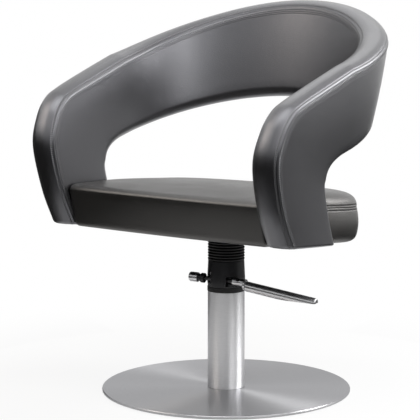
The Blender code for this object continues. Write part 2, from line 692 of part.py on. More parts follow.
def top_fall(y):
    """How far the top has dropped from the rear to a place towards the front."""
    return SEAT_FALL * ((SEAT_REAR - y) / (SEAT_REAR + SEAT_FRONT)) ** 3


def seat_ring(level, insets, slant):
    """The seat's outline at a level, drawn in by the insets and set back at the front by slant."""
    half = seat_half_outline(insets)
    outline = half + [(-x, y) for x, y in reversed(half[1:-1])]
    lowered = upper_share(level)
    return [(x, y + slant * max(0.0, -y / SEAT_FRONT), level - lowered * top_fall(y))
            for x, y in outline]


# Seat, from the swivel hub up
def build_seat(swivel, tilt):
    hub = ring("swivel_hub", RAM_RADIUS + FIT, HUB_RADIUS, HUB_BASE_Z, HUB_TOP_Z + HUB_RADIUS,
               CASTING, swivel, steps=32)
    top_cut = blocks("hub_top_cut", [
        ((-2 * HUB_RADIUS, -2 * HUB_RADIUS, PLATE_RISE - FIT),
         (2 * HUB_RADIUS, 2 * HUB_RADIUS, PLATE_RISE + 4 * HUB_RADIUS))], parent=tilt)
    boolean(hub, top_cut)
    side = PLATE_SIDE / 2
    plate = blocks("seat_plate", [((-side, -side, PLATE_RISE),
                                   (side, side, PLATE_RISE + PLATE_THICK))], STEEL, tilt)
    bevel(plate, PLATE_THICK / 5)
    fitted = [RECESS_INSET + FIT] * 3
    board_rings = [seat_ring(level, fitted, SEAT_SLANT)
                   for level in (BOARD_RISE, BOARD_RISE + BOARD_THICK)]
    board = lofted("seat_board", board_rings, PLYWOOD, tilt)
    half = PLATE_BOLT_SPACING / 2
    places = [(sx * half, sy * half) for sx in (-1, 1) for sy in (-1, 1)]
    fasten("plate_bolt", places, plate, board, tilt)
    cover_rings = [seat_ring(level, fitted, SEAT_SLANT)
                   for level in (COVER_RISE, COVER_RISE + COVER_THICK)]
    cover = lofted("underside_cover", cover_rings, COVER_CLOTH, tilt)
    opening = rods("cover_opening", [((0, 0, -SEAT_THICK), (0, 0, PLATE_RISE - FIT))],
                   FLANGE_RADIUS + RUN, parent=tilt, segments=40)
    boolean(cover, opening)
    return board


def fasten(name, places, plate, board, parent):
    """Bolts from below through a plate into the board, with their holes."""
    seat_z = PLATE_RISE - FIT
    grip = PLATE_THICK + FIT + BOLT_GRIP
    for index, (x, y) in enumerate(places):
        hex_bolt(f"{name}_{index + 1}", (x, y, seat_z), BOLT_HEAD, BOLT_HEAD_HEIGHT,
                 BOLT_RADIUS, grip, parent)
    holes = rods(f"{name}_holes", [((x, y, seat_z - RUN), (x, y, seat_z + grip + FIT))
                                   for x, y in places], BOLT_RADIUS + FIT, parent=parent,
                 segments=12)
    boolean(plate, holes)
    boolean(board, holes)


def lower_round(height, size):
    """How far a rounded lower edge draws in, at a height over its lowest line."""
    left = max(0.0, 1 - height / size)
    return size * (1 - math.sqrt(1 - left ** 2))


def upper_insets(share):
    """Level and insets of the rolled upper edge, from the seam to the rim."""
    level = SEAT_SEAM + (SEAT_RIM - SEAT_SEAM) * (1 - (1 - math.sqrt(share)) ** 2)
    turned = max(0.0, (level - FRONT_EDGE) / (SEAT_RIM - FRONT_EDGE))
    ahead = FRONT_ROLL * (1 - math.sqrt(max(0.0, 1 - turned ** 2)))
    return level, (SIDE_ROLL * share, SEAT_ROLL * share, ahead)


def build_cushion(tilt):
    """Foam seat with a rounded lower edge, a rolled upper edge and a recess for the board."""
    recess = [RECESS_INSET] * 3
    rings = [seat_ring(level, recess, SEAT_SLANT) for level in (RECESS_DEPTH, -SEAT_DROOP)]
    for height in (0.0, LOWER_INSET * 0.30, LOWER_INSET, REAR_ROUND, SEAT_SEAM / 2, SEAT_SEAM):
        level = height - SEAT_DROOP * (1 - height / SEAT_SEAM)
        plain = lower_round(height, LOWER_INSET)
        puff = REAR_PUFF * math.sin(math.pi * height / SEAT_SEAM)
        insets = (plain, lower_round(height, REAR_ROUND) - puff, plain)
        rings.append(seat_ring(level, insets, front_slant(level)))
    for share in (0.05, 0.18, 0.48, 1.0):
        level, insets = upper_insets(share)
        rings.append(seat_ring(level, insets, front_slant(level)))
    rim = rings[-1]
    middle = (SEAT_REAR - SEAT_FRONT) / 2
    for share in (0.66, 0.30):
        top = SEAT_RIM + SEAT_CROWN * (1 - share ** 2)
        flat = [(x * share, middle + (y - middle) * share) for x, y, _ in rim]
        rings.append([(x, y, top - top_fall(y)) for x, y in flat])
    return lofted("seat_cushion", rings, LEATHER, tilt)


# Shape of the arm band, in distances along its plan and rises above the seat's lower edge
def back_plan(turn):
    """Place and outward normal on the back's elliptic plan."""
    x = ARM_MIDDLE * math.sin(turn)
    y = BACK_DEPTH * math.cos(turn) - BAND_TURN
    out = Vector((BACK_DEPTH * math.sin(turn), ARM_MIDDLE * math.cos(turn))).normalized()
    return x, y, out.x, out.y


def arc_lengths(count=90):
    """Length of the plan from the rear middle, at equal turns to where the arm goes straight."""
    total = [0.0]
    for i in range(count):
        ax, ay, _, _ = back_plan(math.pi / 2 * i / count)
        bx, by, _, _ = back_plan(math.pi / 2 * (i + 1) / count)
        total.append(total[-1] + math.hypot(bx - ax, by - ay))
    return total


BACK_LENGTHS = arc_lengths()
BACK_ARC = BACK_LENGTHS[-1]


def plan_at(along):
    """Place and outward normal on the plan, at a distance from the rear middle."""
    if along >= BACK_ARC:
        return ARM_MIDDLE, -BAND_TURN - (along - BACK_ARC), 1.0, 0.0
    low = max(i for i, length in enumerate(BACK_LENGTHS) if length <= along)
    span = BACK_LENGTHS[low + 1] - BACK_LENGTHS[low]
    share = (low + (along - BACK_LENGTHS[low]) / span) / (len(BACK_LENGTHS) - 1)
    return back_plan(math.pi / 2 * share)


def band_point(along, rise, out):
    """World point of the band, leaning outwards more at the back than at the arms."""
    x, y, nx, ny = plan_at(along)
    lean = math.tan(LEAN_ARM) + (math.tan(LEAN_BACK) - math.tan(LEAN_ARM)) * smooth(ny / 0.7)
    below = max(0.0, LEAN_RISE - rise)
    shift = (rise - LEAN_RISE) * lean + LEG_FLARE * below ** 2 + out
    return (x + nx * shift, y + ny * shift, SEAT_BASE_Z + rise)


def side_along(reach):
    """Distance along the plan of a point on the straight arm, by its reach to the front."""
    return BACK_ARC - BAND_TURN + reach


def base_rise(reach):
    """Rise of the seat's tilted lower plane at a reach to the front."""
    return reach * math.tan(SEAT_TILT)


def band_controls():
    """Crest and hem from the turn of the back to the foot, as (along, rise, along, rise)."""
    turn = (BAND_TURN, TURN_TOP, BAND_TURN, TURN_HEM)
    foot = (LEG_FRONT, base_rise(LEG_FRONT) - FOOT_DROP, LEG_REAR, base_rise(LEG_REAR))
    return [(side_along(a), b, side_along(c), d) for a, b, c, d in (turn, *ARM_LINES, foot)]


def catmull(points, index, share):
    """Catmull-Rom between two neighbours of a list of tuples."""
    last = len(points) - 1
    p1, p2 = points[index], points[index + 1]
    p0 = points[index - 1] if index > 0 else tuple(2 * a - b for a, b in zip(p1, p2))
    p3 = points[index + 2] if index + 2 <= last else tuple(2 * b - a for a, b in zip(p1, p2))
    return tuple(0.5 * (2 * b + (c - a) * share + (2 * a - 5 * b + 4 * c - d) * share ** 2
                        + (3 * b - a - 3 * c + d) * share ** 3)
                 for a, b, c, d in zip(p0, p1, p2, p3))


def band_stations():
    """Sections from the rear middle to the foot, as (crest along, rise, hem along, rise)."""
    stations = []
    back_steps = 9
    stride = (len(BACK_LENGTHS) - 1) // back_steps
    for i in range(back_steps):
        along = BACK_LENGTHS[i * stride]
        cosine = math.cos(math.pi / 2 * i / back_steps)
        crest = CREST_COSINE * cosine + (1 - CREST_COSINE) * cosine ** 2
        hem = HEM_COSINE * cosine + (1 - HEM_COSINE) * cosine ** 2
        stations.append((along, TURN_TOP + (BACK_TOP - TURN_TOP) * crest,
                         along, TURN_HEM + (BACK_HEM - TURN_HEM) * hem))
    controls = band_controls()
    steps = (3, 2, 2, 2, 2, 2, 3)
    for index, count in enumerate(steps):
        for i in range(count):
            stations.append(catmull(controls, index, i / count))
    stations.append(controls[-1])
    return stations


def band_outline(width):
    """Section of the band as (distance from the crest, offset outwards) points."""
    half = BAND_HALF
    nose = [(BULLNOSE * (1 - math.cos(a)), half * math.sin(a))
            for a in [math.pi / 2 * (i / 3 - 1) for i in range(7)]]
    outer_corner = [(width - HEM_ROUND_OUT * (1 - math.sin(a)),
                     half - HEM_ROUND_OUT * (1 - math.cos(a)))
                    for a in [math.pi / 2 * i / 2 for i in range(3)]]
    inner_corner = [(width - HEM_ROUND_IN * (1 - math.cos(a)),
                     -half + HEM_ROUND_IN * (1 - math.sin(a)))
                    for a in [math.pi / 2 * i / 3 for i in range(4)]]
    middle = (BULLNOSE + width - HEM_ROUND_IN) / 2
    return (nose + [(middle, half + FACE_CROWN)] + outer_corner + inner_corner
            + [(middle, -half - FACE_CROWN)])


def section_ring(station, points):
    """Place (distance from the crest, offset) points on a station of the band."""
    crest_along, crest_rise, hem_along, hem_rise = station
    width = math.hypot(hem_along - crest_along, hem_rise - crest_rise)
    ring_points = []
    for distance, out in points:
        share = distance / width
        ring_points.append(band_point(crest_along + (hem_along - crest_along) * share,
                                      crest_rise + (hem_rise - crest_rise) * share, out))
    return ring_points


def station_width(station):
    return math.hypot(station[2] - station[0], station[3] - station[1])


def tube_ring(station, radius, count=8):
    middle = station_width(station) / 2
    return section_ring(station, [(middle + u, v) for u, v in circle(radius, count, math.pi / 8)])


def close_end(bm, outer, inner):
    """Close the flat end of a hollow form between its outer and inner loops."""
    edges = []
    for loop in (outer, inner):
        for a, b in zip(loop, loop[1:] + loop[:1]):
            edges.append(bm.edges.get((a, b)))
    bmesh.ops.triangle_fill(bm, use_beauty=True, edges=edges)


def hollow_half(name, outer_rings, inner_rings, material, parent):
    """A tube-like form open at the middle plane, mirrored to its other half."""
    bm = bmesh.new()
    outer = loft(bm, outer_rings, cap_start=False, cap_end=False)
    inner = loft(bm, inner_rings, cap_start=False, cap_end=False)
    close_end(bm, outer[-1], inner[-1])
    obj = add_object(name, mesh_from(bm, name), material, parent)
    mirror = obj.modifiers.new("mirror", "MIRROR")
    mirror.use_axis = (True, False, False)
    mirror.use_clip = True
    mirror.merge_threshold = 0.00005
    return obj


def frame_end_station(stations):
    """The station where the frame tube stands on its bracket."""
    level = (PLATE_RISE + PLATE_THICK + FIT) / math.cos(SEAT_TILT)
    upper, lower = stations[-2], stations[-1]

    def height(station):
        reach = (station[0] + station[2]) / 2 - side_along(0.0)
        return (station[1] + station[3]) / 2 - base_rise(reach)

    share = (level - height(lower)) / (height(upper) - height(lower))
    blend = [b + (a - b) * share for a, b in zip(upper, lower)]
    middle = (blend[0] + blend[2]) / 2
    reach = middle - side_along(0.0)
    half = (blend[0] - blend[2]) / 2
    slope = math.tan(SEAT_TILT)
    rise = level + base_rise(reach)
    return (middle + half, rise + half * slope, middle - half, rise - half * slope)


def build_band(swivel, tilt, board):
    stations = band_stations()
    band = hollow_half("arm_band",
                       [section_ring(s, band_outline(station_width(s))) for s in stations],
                       [tube_ring(s, FRAME_RADIUS + PADDED_FIT) for s in stations],
                       LEATHER, swivel)
    end = frame_end_station(stations)
    tube_stations = stations[:-1] + [end]
    hollow_half("band_frame", [tube_ring(s, FRAME_RADIUS) for s in tube_stations],
                [tube_ring(s, FRAME_RADIUS - FRAME_WALL) for s in tube_stations],
                DARK_STEEL, swivel)
    build_brackets(band, end, stations[-2], swivel, tilt, board)
    return band


def build_brackets(band, end, above, swivel, tilt, board):
    """Flat bars under the board carry the frame tube's ends inside the legs."""
    middle = [(a + b) / 2 for a, b in zip(end[:2], end[2:])]
    foot = Vector(band_point(middle[0], middle[1], 0.0))
    local = seat_frame(foot)
    half = BRACKET_WIDTH / 2
    top = PLATE_RISE + PLATE_THICK
    notches = []
    for side, label in ((1, "left"), (-1, "right")):
        inner_x, outer_x = BRACKET_INNER * side, (local.x + BRACKET_END) * side
        low_x, high_x = min(inner_x, outer_x), max(inner_x, outer_x)
        bracket = blocks(f"arm_bracket_{label}", [
            ((low_x, local.y - half, PLATE_RISE), (high_x, local.y + half, top))], DARK_STEEL, tilt)
        bolt_x = BRACKET_INNER + half / 2
        places = [(side * bolt_x, local.y - half / 2), (side * (bolt_x + half), local.y + half / 2)]
        fasten(f"bracket_bolt_{label}", places, bracket, board, tilt)
        build_arm_bolt(label, side, local, band, bracket, end, above, swivel, tilt)
        notch_in = (SEAT_WIDTH_FRONT / 2 - SKIRT * 2) * side
        notch_out = outer_x + side * PADDED_FIT
        notches.append(((min(notch_in, notch_out), local.y - half - PADDED_FIT,
                         PLATE_RISE - PADDED_FIT),
                        (max(notch_in, notch_out), local.y + half + PADDED_FIT,
                         top + PADDED_FIT)))
    way = blocks("bracket_ways", notches, parent=tilt)
    boolean(band, way)
    boolean(build_cushion(tilt), way)


def seat_frame(point):
    """World point in the frame of the tilted seat."""
    x, y, z = point
    rise = z - SEAT_BASE_Z
    cos, sin = math.cos(SEAT_TILT), math.sin(SEAT_TILT)
    return Vector((x, y * cos - rise * sin, y * sin + rise * cos))


def build_arm_bolt(label, side, local, band, bracket, end, above, swivel, tilt):
    """A bolt from below into the tube's plug, reached through a hole in the leg."""
    seat_z = PLATE_RISE - FIT
    grip = PLATE_THICK + 2 * FIT + ARM_BOLT_GRIP
    place = (local.x * side, local.y, seat_z)
    hex_bolt(f"arm_bolt_{label}", place, ARM_BOLT_HEAD, BOLT_HEAD_HEIGHT, ARM_BOLT_RADIUS,
             grip, tilt)
    hole = rods(f"arm_bolt_hole_{label}", [(Vector(place) - Vector((0, 0, RUN)),
                                            Vector(place) + Vector((0, 0, grip + FIT)))],
                ARM_BOLT_RADIUS + FIT, parent=tilt, segments=12)
    boolean(bracket, hole)
    access = rods(f"arm_bolt_access_{label}", [(Vector(place) - Vector((0, 0, BAND_THICK)), place)],
                  ARM_BOLT_HEAD + PADDED_FIT, parent=tilt)
    boolean(band, access)
    share = PLUG_LENGTH / (Vector(above[:2]) - Vector(end[:2])).length
    top = tuple(b + (a - b) * share for a, b in zip(above, end))
    radius = FRAME_RADIUS - FRAME_WALL - FIT
    rings = [[(x * side, y, z) for x, y, z in tube_ring(s, radius)] for s in (end, top)]
    plug = lofted(f"frame_plug_{label}", rings, DARK_STEEL, swivel)
    boolean(plug, hole)


def main():
    lever_axis = Vector((math.cos(LEVER_TURN), math.sin(LEVER_TURN), 0))
    to_column = Vector((-math.sin(LEVER_TURN), math.cos(LEVER_TURN), 0))
    pivot = lever_axis * PIVOT_REACH - to_column * LEVER_OFFSET + Vector((0, 0, LEVER_Z))
    pump = make_empty("pump_frame", pivot, (0, 0, LEVER_TURN))
    lever = make_empty("pedal_rock", rotation=(0, SHAFT_DROP, 0), parent=pump)
    lift = make_empty("seat_lift")
    swivel = make_empty("seat_swivel", parent=lift)
    tilt = make_empty("seat_tilt", (0, 0, SEAT_BASE_Z), (-SEAT_TILT, 0, 0), swivel)
    build_base()
    build_collar(pump)
    build_bellows()
    build_ram(lift)
    build_lever(lever)
    build_plunger(pump)
    board = build_seat(swivel, tilt)
    build_band(swivel, tilt, board)


main()
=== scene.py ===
"""Looks of the styling chair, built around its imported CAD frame. Metres, +Z up."""
import bisect
import json
import math

import bmesh
import bpy
from mathutils import Matrix, Vector
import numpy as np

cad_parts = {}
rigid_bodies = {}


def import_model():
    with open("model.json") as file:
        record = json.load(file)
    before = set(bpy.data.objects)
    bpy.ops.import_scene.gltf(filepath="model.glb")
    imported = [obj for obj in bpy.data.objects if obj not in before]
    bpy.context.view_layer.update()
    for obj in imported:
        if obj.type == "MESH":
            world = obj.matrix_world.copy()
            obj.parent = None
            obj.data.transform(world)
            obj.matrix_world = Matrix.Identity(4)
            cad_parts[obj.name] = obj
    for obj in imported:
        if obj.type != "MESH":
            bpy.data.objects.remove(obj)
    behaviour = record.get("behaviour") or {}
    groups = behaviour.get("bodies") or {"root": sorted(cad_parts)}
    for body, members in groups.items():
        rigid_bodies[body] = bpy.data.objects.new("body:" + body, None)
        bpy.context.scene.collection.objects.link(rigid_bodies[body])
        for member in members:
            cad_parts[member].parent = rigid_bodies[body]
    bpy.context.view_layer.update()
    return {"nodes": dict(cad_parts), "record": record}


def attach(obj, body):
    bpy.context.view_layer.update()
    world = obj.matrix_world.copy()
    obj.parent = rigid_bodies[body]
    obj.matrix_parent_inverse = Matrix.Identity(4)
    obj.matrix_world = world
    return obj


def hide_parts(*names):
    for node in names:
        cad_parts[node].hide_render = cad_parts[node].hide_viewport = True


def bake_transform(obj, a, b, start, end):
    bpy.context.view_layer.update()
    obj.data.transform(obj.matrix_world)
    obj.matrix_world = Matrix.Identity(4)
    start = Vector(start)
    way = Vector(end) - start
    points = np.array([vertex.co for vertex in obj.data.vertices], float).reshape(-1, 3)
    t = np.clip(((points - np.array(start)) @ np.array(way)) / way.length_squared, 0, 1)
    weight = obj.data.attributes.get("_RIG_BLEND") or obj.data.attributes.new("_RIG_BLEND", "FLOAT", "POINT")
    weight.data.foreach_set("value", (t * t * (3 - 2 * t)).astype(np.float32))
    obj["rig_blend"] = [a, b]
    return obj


# Camera, fitted to the photograph
CAMERA_TURN = math.radians(36.3)     # to the sitter's left of straight ahead
CAMERA_REACH = 4.150
CAMERA_HEIGHT = 1.000
CAMERA_PITCH = math.radians(8.1)
CAMERA_SIDE = -0.0364
SENSOR = 36.0
FOCAL_PIXELS = 1878
PICTURE_PIXELS = 420

# Black cards for dark reflections: one on the floor nearly all round, one upright on the camera's side
CARD_NEAR = 0.70
CARD_FAR = 5.0
CARD_LIFT = 0.001
CARD_TOP = 1.6
CARD_SIDES = 40
CARD_START = math.radians(150)
FLOOR_SWEEP = math.radians(310)
WALL_SWEEP = math.radians(230)

# Floor, white to look at from some way off the chair
FLOOR_REACH = 12.0
FLOOR_Z = -0.0003
FLOOR_GLOW = 0.86         # share of the white glow under the chair
GLOW_NEAR = 0.45
GLOW_FAR = 1.10

# Light
WORLD_FILL = 0.10
LAMP_AIM = (0, 0, 0.6)
WHITE = (1.0, 1.0, 1.0)
WARM = (1.0, 0.91, 0.82)

# Seat, in the frame of its tilted lower plane, with the sizes of the CAD source
SEAT_BASE_Z = 0.360943
SEAT_TILT = math.radians(5.5)
SEAT_WIDTH_FRONT = 0.513
SEAT_WIDTH_REAR = 0.526
SEAT_FRONT = 0.250
SEAT_BULGE = 0.014
SEAT_CORNER = 0.006
SEAT_REAR = 0.265
SEAT_TURN = 0.060
SEAT_SQUARE = 2.25
SEAT_SEAM = 0.073
SEAT_THICK = 0.107
SEAT_ROLL = 0.050
SEAT_CROWN = 0.0015
SEAT_SLANT = 0.031
SLANT_LEVEL = 0.078
SLANT_BEND = 0.014
SEAT_FALL = 0.017
LOWER_INSET = 0.008
REAR_ROUND = 0.014
REAR_PUFF = 0.006
SEAT_DROOP = 0.0045
SKIRT = 0.020
RECESS_DEPTH = 0.0300

# Cover of the seat, rolled more softly than the solid, and the rings that shape it
SIDE_ROLL = 0.007
FRONT_ROLL = 0.022
FRONT_EDGE = 0.0790       # level where the front starts to roll
FRONT_STEPS = 24
CORNER_STEPS = 8
SIDE_STEPS = 24
REAR_STEPS = 40
PROFILE_STEPS = 60
PLAIN_BELOW = 0.0095      # the plain side ends this far below the seam
SIDE_SHARES = (0.0, 0.02, 0.05, 0.09, 0.13, 0.18, 0.24, 0.31, 0.40, 0.52, 0.66, 0.80, 0.92)
ROLL_PARTS = 12
ROLL_PLACES = (1, 2, 3, 4, 5, 6, 7, 8, 9, 10, 10.6, 11.1, 11.5, 11.8, 11.95, 12)
TOP_SHARES = (0.994, 0.985, 0.96, 0.93, 0.84, 0.72, 0.58, 0.44, 0.30, 0.16)

# Arm band, with the sizes of the CAD source
BAND_THICK = 0.062
BAND_GAP = 0.0035
BAND_TURN = 0.010
BACK_REACH = 0.2765
LEAN_RISE = 0.239
LEAN_ARM = math.radians(4.6)
LEAN_BACK = math.radians(11.0)
LEAN_BLEND = 0.7          # rearward part of the plan's normal from which the back's lean is full
LEG_FLARE = 0.215
BACK_TOP = 0.5065
BACK_HEM = 0.2840
TURN_TOP = 0.3855
TURN_HEM = 0.2002
CREST_COSINE = 0.5
HEM_COSINE = 0.8
LEG_FRONT = 0.229
LEG_REAR = 0.051
FOOT_DROP = 0.003
# Crest reach and rise, hem reach and rise, along the arm and down the leg
ARM_LINES = (
    (0.105, 0.3558, 0.038, 0.1925),
    (0.200, 0.3238, 0.064, 0.1810),
    (0.240, 0.3035, 0.081, 0.1660),
    (0.2715, 0.2645, 0.0885, 0.1480),
    (0.2915, 0.2000, 0.0905, 0.1270),
    (0.268, 0.1000, 0.072, 0.0620),
)
HEM_ROUND_IN = 0.026
HEM_ROUND_OUT = 0.010

# Cover of the band, puffed and with a deeper edge strip than the solid
PLAN_STEPS = 90
BACK_STEPS = 45
ARM_STEPS = (14, 12, 9, 8, 8, 12, 10)     # between the lines of the arm, from the turn to the foot
NOSE_STEPS = 400
FACE_STEPS = 9
HEM_STEPS_OUT = 6
HEM_STEPS_IN = 10
FOOT_TURNS = [math.radians(turn) for turn in (0, 18, 36, 54, 72, 90)]
FACE_PUFF = 0.0030
BULLNOSE = 0.024
NOSE_SQUARE = 2.2         # exponent of the edge strip's section, 2 being an ellipse
NOSE_SEAM = 0.10          # share of the strip's width to its seams
NOSE_LEAD = 0.004         # flat run beside the strip, which its sewing draws in too
FOOT_ROUND = 0.005

# Leather
LEATHER_IOR = 1.6
COAT_IOR = 1.5
COAT_ROUGH = 0.34
GRAIN_DEPTH = 0.00010
GRAIN_SCALE = 520         # cells per metre
BEND_SCALE = 300
PORE_SCALE = 1500
WAVE_SCALE = 240
GRAIN_BEND = 0.0009       # how far the cells' borders wander
PORE_SHARE = 0.5          # pores and slow waves, as shares of the grain's depth
WAVE_SHARE = 1.8

# Sewing
SEAM_GROOVE = 0.0007
SEAM_WIDTH = 0.0008
ROW_OFFSET = 0.0055       # stitch rows on both sides of the seam
ROW_GROOVE = 0.0004
ROW_WIDTH = 0.0010
STITCH_PITCH = 0.0046
STITCH_LENGTH = 0.0036
STITCH_RADIUS = 0.00055
# Place along a stitch, and its lift and width in radii of the thread
STITCH_RINGS = ((0.06, -0.2, 0.6), (0.30, 0.35, 1.0), (0.70, 0.35, 1.0), (0.94, -0.2, 0.6))
PUCKER_WIDTH = 0.0030     # how far the hide puckers beside a row
PUCKER_DEPTH = 0.0012
PUCKER_SLANT = 260.0      # turns the puckers' phase across the row, radians per metre
UNSEWN = 0.05             # offset from any seam where there is none near
SEWN_FRONT = -0.235       # where the seat's sewing starts behind the front, and over what length
SEWN_FADE = 0.03
STITCH_FRONT = -0.225     # foremost stitches of the seat
SEAM_LAYERS = ("seam_across", "seam_along")

# Bellows
COLLAR_TOP_Z = 0.2979
BELLOWS_TOP_Z = 0.3420
BELLOWS_RADIUS = 0.0415
BELLOWS_BORE = 0.024
BELLOWS_RIBS = 7
RIB_DEPTH = 0.0045
RIB_STEPS = 12
RIB_ROUND = 0.55          # exponent that fills the ribs out
END_BULGE = 0.35

# Pedal of the pump lever
PIVOT = Vector((0.018115458, -0.026755003, 0.2552))
LEVER_TURN = math.radians(12.3)
SHAFT_DROP = math.radians(2.5)
PEDAL_START = 0.0496
PEDAL_START_DROP = 0.0070
PEDAL_DROP = math.radians(6.4)
PEDAL_RADIUS = 0.0115
PEDAL_LENGTH = 0.168
PEDAL_CUT_START = 0.43    # share of the bar where the flat begins
PEDAL_TIP = 0.0110        # thickness left at the tip
PEDAL_SHARP = math.radians(30)
PEDAL_EDGE = 0.0006
PEDAL_EDGE_ANGLE = math.radians(25)

# Edges of the CAD nodes
MERGE_DISTANCE = 0.00001
SMOOTH_ANGLE = math.radians(28)
EDGE_WIDTH = 0.0005
EDGE_ANGLE = math.radians(40)

RECESS_INSET = LOWER_INSET + SKIRT
SEAT_RIM = SEAT_THICK - SEAT_CROWN
BAND_HALF = BAND_THICK / 2
ARM_MIDDLE = (SEAT_WIDTH_FRONT / 2 + BAND_GAP + BAND_HALF
              + (LEAN_RISE - SEAT_SEAM) * math.tan(LEAN_ARM)
              - (LEAN_RISE - SEAT_SEAM) ** 2 * LEG_FLARE)
BACK_DEPTH = BACK_REACH + BAND_TURN


def clear_scene():
    for old in list(bpy.data.objects):
        bpy.data.objects.remove(old, do_unlink=True)


clear_scene()
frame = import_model()
NODES = frame["nodes"]


# Materials
class Shader:
    """A material's node tree with short ways to add to it."""

    def __init__(self, name):
        self.material = bpy.data.materials.new(name)
        self.material.use_nodes = True
        self.tree = self.material.node_tree
        self.surface = self.tree.nodes["Principled BSDF"]
        self.place = self.add("ShaderNodeTexCoord").outputs["Object"]

    def add(self, kind, **settings):
        node = self.tree.nodes.new(kind)
        for key, value in settings.items():
            setattr(node, key, value)
        return node

    def link(self, output, target):
        self.tree.links.new(output, target)

    def fixed(self, **values):
        """Set constants on the surface's own sockets, by socket name with _ for spaces."""
        for key, value in values.items():
            socket = self.surface.inputs[key.replace("_", " ")]
            socket.default_value = (*value, 1.0) if isinstance(value, tuple) else value

    def stretched(self, scale):
        node = self.add("ShaderNodeMapping")
        node.inputs["Scale"].default_value = scale
        self.link(self.place, node.inputs["Vector"])
        return node.outputs["Vector"]

    def noise(self, scale, detail=2.0, vector=None):
        node = self.add("ShaderNodeTexNoise")
        node.inputs["Scale"].default_value = scale
        node.inputs["Detail"].default_value = detail
        self.link(vector or self.place, node.inputs["Vector"])
        return node.outputs["Fac"]

    def cells(self, scale, feature="F1", vector=None):
        node = self.add("ShaderNodeTexVoronoi", feature=feature)
        node.inputs["Scale"].default_value = scale
        self.link(vector or self.place, node.inputs["Vector"])
        return node.outputs["Distance"]

    def attribute(self, name):
        return self.add("ShaderNodeAttribute", attribute_name=name).outputs["Fac"]

    def math(self, operation, first, second):
        node = self.add("ShaderNodeMath", operation=operation)
        for socket, value in zip(node.inputs, (first, second)):
            if isinstance(value, (int, float)):
                socket.default_value = value
            else:
                self.link(value, socket)
        return node.outputs["Value"]

    def spread(self, value, low, high, start=0.3, end=0.7):
        """Map a texture's usual range to low and high."""
        node = self.add("ShaderNodeMapRange")
        node.inputs["From Min"].default_value = start
        node.inputs["From Max"].default_value = end
        node.inputs["To Min"].default_value = low
        node.inputs["To Max"].default_value = high
        self.link(value, node.inputs["Value"])
        return node.outputs["Result"]

    def tint(self, value, dark, light):
        """Base colour between two colours by a value from 0 to 1."""
        ramp = self.add("ShaderNodeValToRGB")
        ramp.color_ramp.elements[0].color = (*dark, 1.0)
        ramp.color_ramp.elements[1].color = (*light, 1.0)
        self.link(value, ramp.inputs["Fac"])
        self.link(ramp.outputs["Color"], self.surface.inputs["Base Color"])

    def rough(self, value):
        self.link(value, self.surface.inputs["Roughness"])

    def bump(self, height, distance, strength=1.0):
        node = self.add("ShaderNodeBump")
        node.inputs["Strength"].default_value = strength
        node.inputs["Distance"].default_value = distance
        self.link(height, node.inputs["Height"])
        self.link(node.outputs["Normal"], self.surface.inputs["Normal"])


def leather(name, dark, light, low, high, gloss, coat, gloss_tint):
    """Pebbled leather: cells with creases, pores and slow waves, and puckers along its stitch rows.

    Its roughness lies between low and high; gloss, gloss_tint and coat set its shine.
    """
    s = Shader(name)
    warp = s.add("ShaderNodeVectorMath", operation="MULTIPLY_ADD")
    jitter = s.add("ShaderNodeTexNoise")
    jitter.inputs["Scale"].default_value = BEND_SCALE
    s.link(s.place, jitter.inputs["Vector"])
    s.link(jitter.outputs["Color"], warp.inputs[0])
    warp.inputs[1].default_value = (GRAIN_BEND, GRAIN_BEND, GRAIN_BEND)
    s.link(s.place, warp.inputs[2])
    borders = s.cells(GRAIN_SCALE, "DISTANCE_TO_EDGE", warp.outputs["Vector"])
    creases = s.spread(borders, 0.0, 1.0, 0.0, 0.22)
    pores = s.noise(PORE_SCALE, 2.0)
    waves = s.noise(WAVE_SCALE, 3.0, s.stretched((1.0, 1.0, 1.8)))
    grain = s.math("ADD", creases, s.math("MULTIPLY", pores, PORE_SHARE))
    grain = s.math("ADD", grain, s.math("MULTIPLY", waves, WAVE_SHARE))
    height = s.math("SUBTRACT", s.math("MULTIPLY", grain, GRAIN_DEPTH), puckers(s))
    s.bump(height, 1.0)
    patches = s.noise(7, 4.0)
    # Tone from random patches, with the grain's creases painted darker: painted shade in the creases.
    shade = s.math("ADD", s.math("MULTIPLY", patches, 0.7), s.math("MULTIPLY", creases, 0.3))
    s.tint(s.spread(shade, 0.0, 1.0), dark, light)
    s.rough(s.spread(s.noise(11, 3.0), low, high))
    s.fixed(IOR=LEATHER_IOR, Specular_IOR_Level=gloss, Specular_Tint=gloss_tint)
    s.fixed(Coat_Weight=coat, Coat_Roughness=COAT_ROUGH, Coat_IOR=COAT_IOR)
    return s.material


def puckers(s):
    """Depth of the slanting puckers between the stitches, from the mesh's seam attributes."""
    across = s.math("ABSOLUTE", s.attribute(SEAM_LAYERS[0]), 0.0)
    beside = s.math("SUBTRACT", across, ROW_OFFSET)
    near = s.spread(s.math("ABSOLUTE", beside, 0.0), 1.0, 0.0, 0.0, PUCKER_WIDTH)
    turn = s.math("MULTIPLY", s.attribute(SEAM_LAYERS[1]), 2 * math.pi / STITCH_PITCH)
    turn = s.math("ADD", turn, s.math("MULTIPLY", beside, PUCKER_SLANT))
    wave = s.math("ADD", s.math("COSINE", turn, 0.0), 1.0)
    return s.math("MULTIPLY", s.math("MULTIPLY", wave, near), PUCKER_DEPTH / 2)


def thread(name, dark, light):
    s = Shader(name)
    s.tint(s.noise(900, 2.0), dark, light)
    s.rough(s.spread(s.noise(500), 0.5, 0.7))
    s.bump(s.noise(2500), 0.0001, 0.5)
    return s.material


